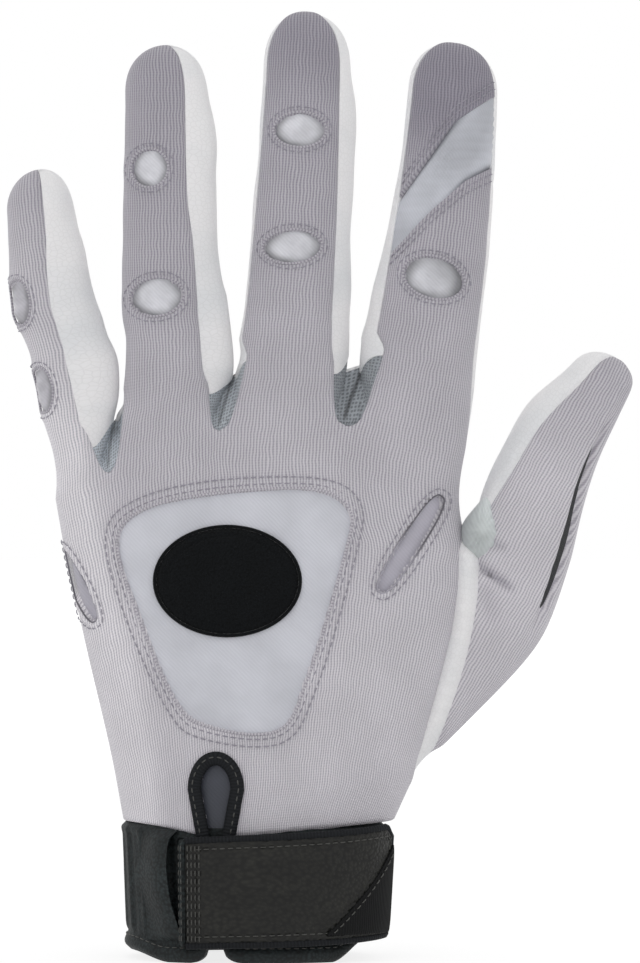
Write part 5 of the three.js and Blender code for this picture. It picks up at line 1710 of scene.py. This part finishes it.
class GLOVE_OT_strap(bpy.types.Operator):
    """Closing strap with its sewn root, fastening tapes, corner label and stitching"""

    bl_idname = "glove.strap"
    bl_label = "Strap"

    def execute(self, context):
        wall = band_cloth((STRAP["from"], STRAP["to"]), strap_edge, self.padding, STRAP["inner"], 140, 60)
        put("strap_leather_tab", wall, "strap", "strap", "strap_tab")
        self.tape("strap_hook_tape", "hook", 1.5, 2.66, "strap")
        self.tape("cuff_loop_tape", "loop", 1.15, 0.0, "hand")
        self.root()
        self.label()
        self.edging()
        return {"FINISHED"}

    def padding(self, s, t, y, degrees):
        """Padded leather: full in the middle, thinner outside the line of stitches."""
        gap = edge_gap(s, t, STRAP_LONG, STRAP_HIGH)
        seam = 0.3 * bell(gap, STRAP_SEAM, 0.5)
        return STRAP["outer"] - 0.7 * bell(gap, 0, 0.8) - seam + 0.12 * ripple(degrees, y, 16, 3)

    def tape(self, name, cloth, foot, inside, place):
        """Hook tape under the strap or loop tape on the cuff: a level band with a tufted face."""
        wall = band_cloth((PATCH["from"], PATCH["to"]), lambda s: (PATCH["low"], PATCH["high"]),
                          lambda s, t, y, degrees: foot + 0.1 * np.sin(degrees * 3.3) * np.sin(y * 3.6),
                          inside, 120, 50)
        put(name, wall, cloth, place, f"{cloth}_patch")

    def root(self):
        """Root of the strap, sewn flat to the left lobe with close rows of stitches."""
        start, end = STRAP["from"] + 8, STRAP["from"] + 0.5
        low, high = STRAP["low"][0], STRAP["high"][0]

        def flat(s, t, y, degrees):
            gap = edge_gap(s, t, 5, STRAP_HIGH)
            return root_rise(s) - 0.6 * bell(gap, 0, 0.6) + 0.12 * ripple(degrees, y, 7, 5)

        put("strap_sewn_root", band_cloth((start, end), lambda s: (low, high), flat, 0.2, 24, 60), "cuff",
            "hand", "strap_root")
        y = np.linspace(low + 1, high - 1, 60)
        rows = [stitches(*cuff_line(turn, y, root_rise((start - turn) / (start - end))))
                for turn in (115.6, 117.2)]
        put("strap_root_stitching", joined(rows), "black_thread", "hand")
        rows = [stitches(*cuff_line(turn, y, STRAP["outer"])) for turn in (112.4, 110.8, 109.2, 107.6)]
        put("strap_start_stitching", joined(rows), "black_thread", "strap")

    def label(self):
        """Plain three-cornered label on the strap's lower free corner, stitched along its slope."""
        span = (STRAP["to"] + 44, STRAP["to"] + 1)
        low = STRAP["low"][1] + 1
        top, foot, slope = 4.75, 0.6, 20
        wall = band_cloth(span, lambda s: (low, low + foot + slope * s),
                          lambda s, t, y, degrees: top - 0.25 * np.abs(2 * t - 1) ** 8, 4.1, 60, 40)
        put("strap_corner_label_tape", wall, "label", "strap", "strap_corner_label")
        s = np.linspace(0.05, 0.97, 50)
        row = stitches(*cuff_line(mix(*span, s), low - foot + slope * s, top))
        put("strap_label_stitching", row, "black_thread", "strap")

    def edging(self):
        """Line of stitches round the strap, one seam's width inside its edge, and the binding of its
        two long edges."""
        along = np.linspace(STRAP_SEAM / STRAP_LONG, 1 - STRAP_SEAM / STRAP_LONG, 80)
        low, high = strap_edge(along)
        low, high = low + STRAP_SEAM, high - STRAP_SEAM
        end = stacked(np.full(20, along[-1]), np.linspace(low[-1], high[-1], 20))
        loop = np.concatenate([stacked(along, low), end[1:-1], stacked(along, high)[::-1]])
        s = np.linspace(0, 1, 90)
        low, high = strap_edge(s)
        hem = np.concatenate([stacked(s, low + 0.2), stacked(s, high - 0.2)[::-1]])
        rises = STRAP["outer"] - 0.25, (STRAP["outer"] + STRAP["inner"]) / 2
        seam, edge = (cuff_line(mix(STRAP["from"], STRAP["to"], path[:, 0]), path[:, 1], rise)
                      for path, rise in zip((loop, hem), rises))
        put("strap_topstitching", stitches(*seam), "black_thread", "strap")
        put("strap_edge_binding", tube(*edge, 0.85, closed=False), "binding", "strap")


# Stage
def looked_at(tree):
    """Light path: 1 on what the camera sees or a gloss mirrors, 0 on what only gives light."""
    path = node(tree, "LightPath").node.outputs
    return node(tree, "Math", {0: path["Is Camera Ray"], 1: path["Is Glossy Ray"]}, operation="MAXIMUM")


class GLOVE_OT_stage(bpy.types.Operator):
    """Pale floor, plain white surroundings, soft lamps and the camera of the photograph's view"""

    bl_idname = "glove.stage"
    bl_label = "Stage"

    def execute(self, context):
        scene = context.scene
        scene.view_settings.view_transform = "Standard"
        self.floor()
        self.world(scene)
        for name, spot, watts in (
            ("key_lamp", (-1.0, -1.0, 1.0), 50.0),
            ("fill_lamp", (0.9, -1.1, 0.4), 22.0),
            ("back_lamp", (0.1, 1.2, 0.9), 14.0),
        ):
            self.lamp(name, spot, watts)
        camera = bpy.data.cameras.new("photo_camera")
        camera.sensor_width = 36
        camera.lens = 186.9
        seat = linked("photo_camera", camera)
        seat.location = (-0.00033, -1.2, 0.1141)
        seat.rotation_euler = (pi / 2, 0, 0)
        scene.camera = seat
        return {"FINISHED"}

    def floor(self):
        """Level floor that shows white to the camera and keeps a soft shadow of the glove."""
        mesh = bpy.data.meshes.new("floor")
        reach = 6
        mesh.from_pydata([(-reach, -reach, 0), (reach, -reach, 0), (reach, reach, 0), (-reach, reach, 0)],
                         [], [(0, 1, 2, 3)])
        floor = linked("floor", mesh)
        # Matt white paper: lit as pale paint, and brought up to white where the camera sees it
        material = bpy.data.materials.new("matt_white_paper")
        material.use_nodes = True
        tree = material.node_tree
        tree.nodes.clear()
        share = node(tree, "Math", {0: looked_at(tree), 1: 0.72}, operation="MULTIPLY")
        paper = node(tree, "BsdfDiffuse", {"Color": linear(0xF2F2F2)})
        glow = node(tree, "Emission", {"Color": (1, 1, 1, 1), "Strength": 1.13})
        both = node(tree, "MixShader", {"Fac": share, 1: paper, 2: glow})
        node(tree, "OutputMaterial", {"Surface": both})
        mesh.materials.append(material)

    def world(self, scene):
        """Even white surroundings: strength 1 to the camera and to gloss, softer as light."""
        world = bpy.data.worlds.new("white_surroundings")
        world.use_nodes = True
        tree = world.node_tree
        tree.nodes.clear()
        strength = node(tree, "MapRange", {"Value": looked_at(tree), "To Min": 0.85, "To Max": 1.0})
        sky = node(tree, "Background", {"Color": (1, 1, 1, 1), "Strength": strength})
        node(tree, "OutputWorld", {"Surface": sky})
        scene.world = world

    def lamp(self, name, spot, watts):
        """Square area lamp that faces the middle of the glove."""
        light = bpy.data.lights.new(name, "AREA")
        light.size, light.energy = 0.9, watts
        lamp = linked(name, light)
        middle = np.array([0, 0, 0.115])
        aim = middle - spot
        lamp.location = spot
        lamp.rotation_euler = (math.acos(aim[2] / norm(aim)) - pi, 0,
                               math.atan2(aim[1], aim[0]) - pi / 2)


PIECES = (GLOVE_OT_hand_back, GLOVE_OT_palm, GLOVE_OT_finger_backs, GLOVE_OT_finger_leather, GLOVE_OT_thumb,
          GLOVE_OT_webs, GLOVE_OT_knuckle_inserts, GLOVE_OT_window, GLOVE_OT_slits, GLOVE_OT_cuff,
          GLOVE_OT_strap, GLOVE_OT_stage)


class GLOVE_PT_dressing(bpy.types.Panel):
    """Lists the glove's pieces, sizes and colours"""

    bl_idname = "GLOVE_PT_dressing"
    bl_label = "Tennis glove"
    bl_space_type = "VIEW_3D"
    bl_region_type = "UI"
    bl_category = "Glove"

    def draw(self, context):
        for operator in PIECES:
            self.layout.operator(operator.bl_idname, text=operator.bl_label)
        for group in (context.scene.glove_sizes, context.scene.glove_colours):
            for key in group.bl_rna.properties.keys():
                if key not in ("rna_type", "name"):
                    self.layout.prop(group, key)


CLASSES = (GloveColours, GloveSizes, *PIECES, GLOVE_PT_dressing)


def register():
    for entry in CLASSES:
        bpy.utils.register_class(entry)
    bpy.types.Scene.glove_colours = PointerProperty(type=GloveColours)
    bpy.types.Scene.glove_sizes = PointerProperty(type=GloveSizes)


def unregister():
    del bpy.types.Scene.glove_sizes
    del bpy.types.Scene.glove_colours
    for entry in reversed(CLASSES):
        bpy.utils.unregister_class(entry)


def main():
    """Registers the classes and makes every piece in order."""
    register()
    for operator in PIECES:
        family, name = operator.bl_idname.split(".")
        getattr(getattr(bpy.ops, family), name)()


if __name__ == "__main__":
    main()
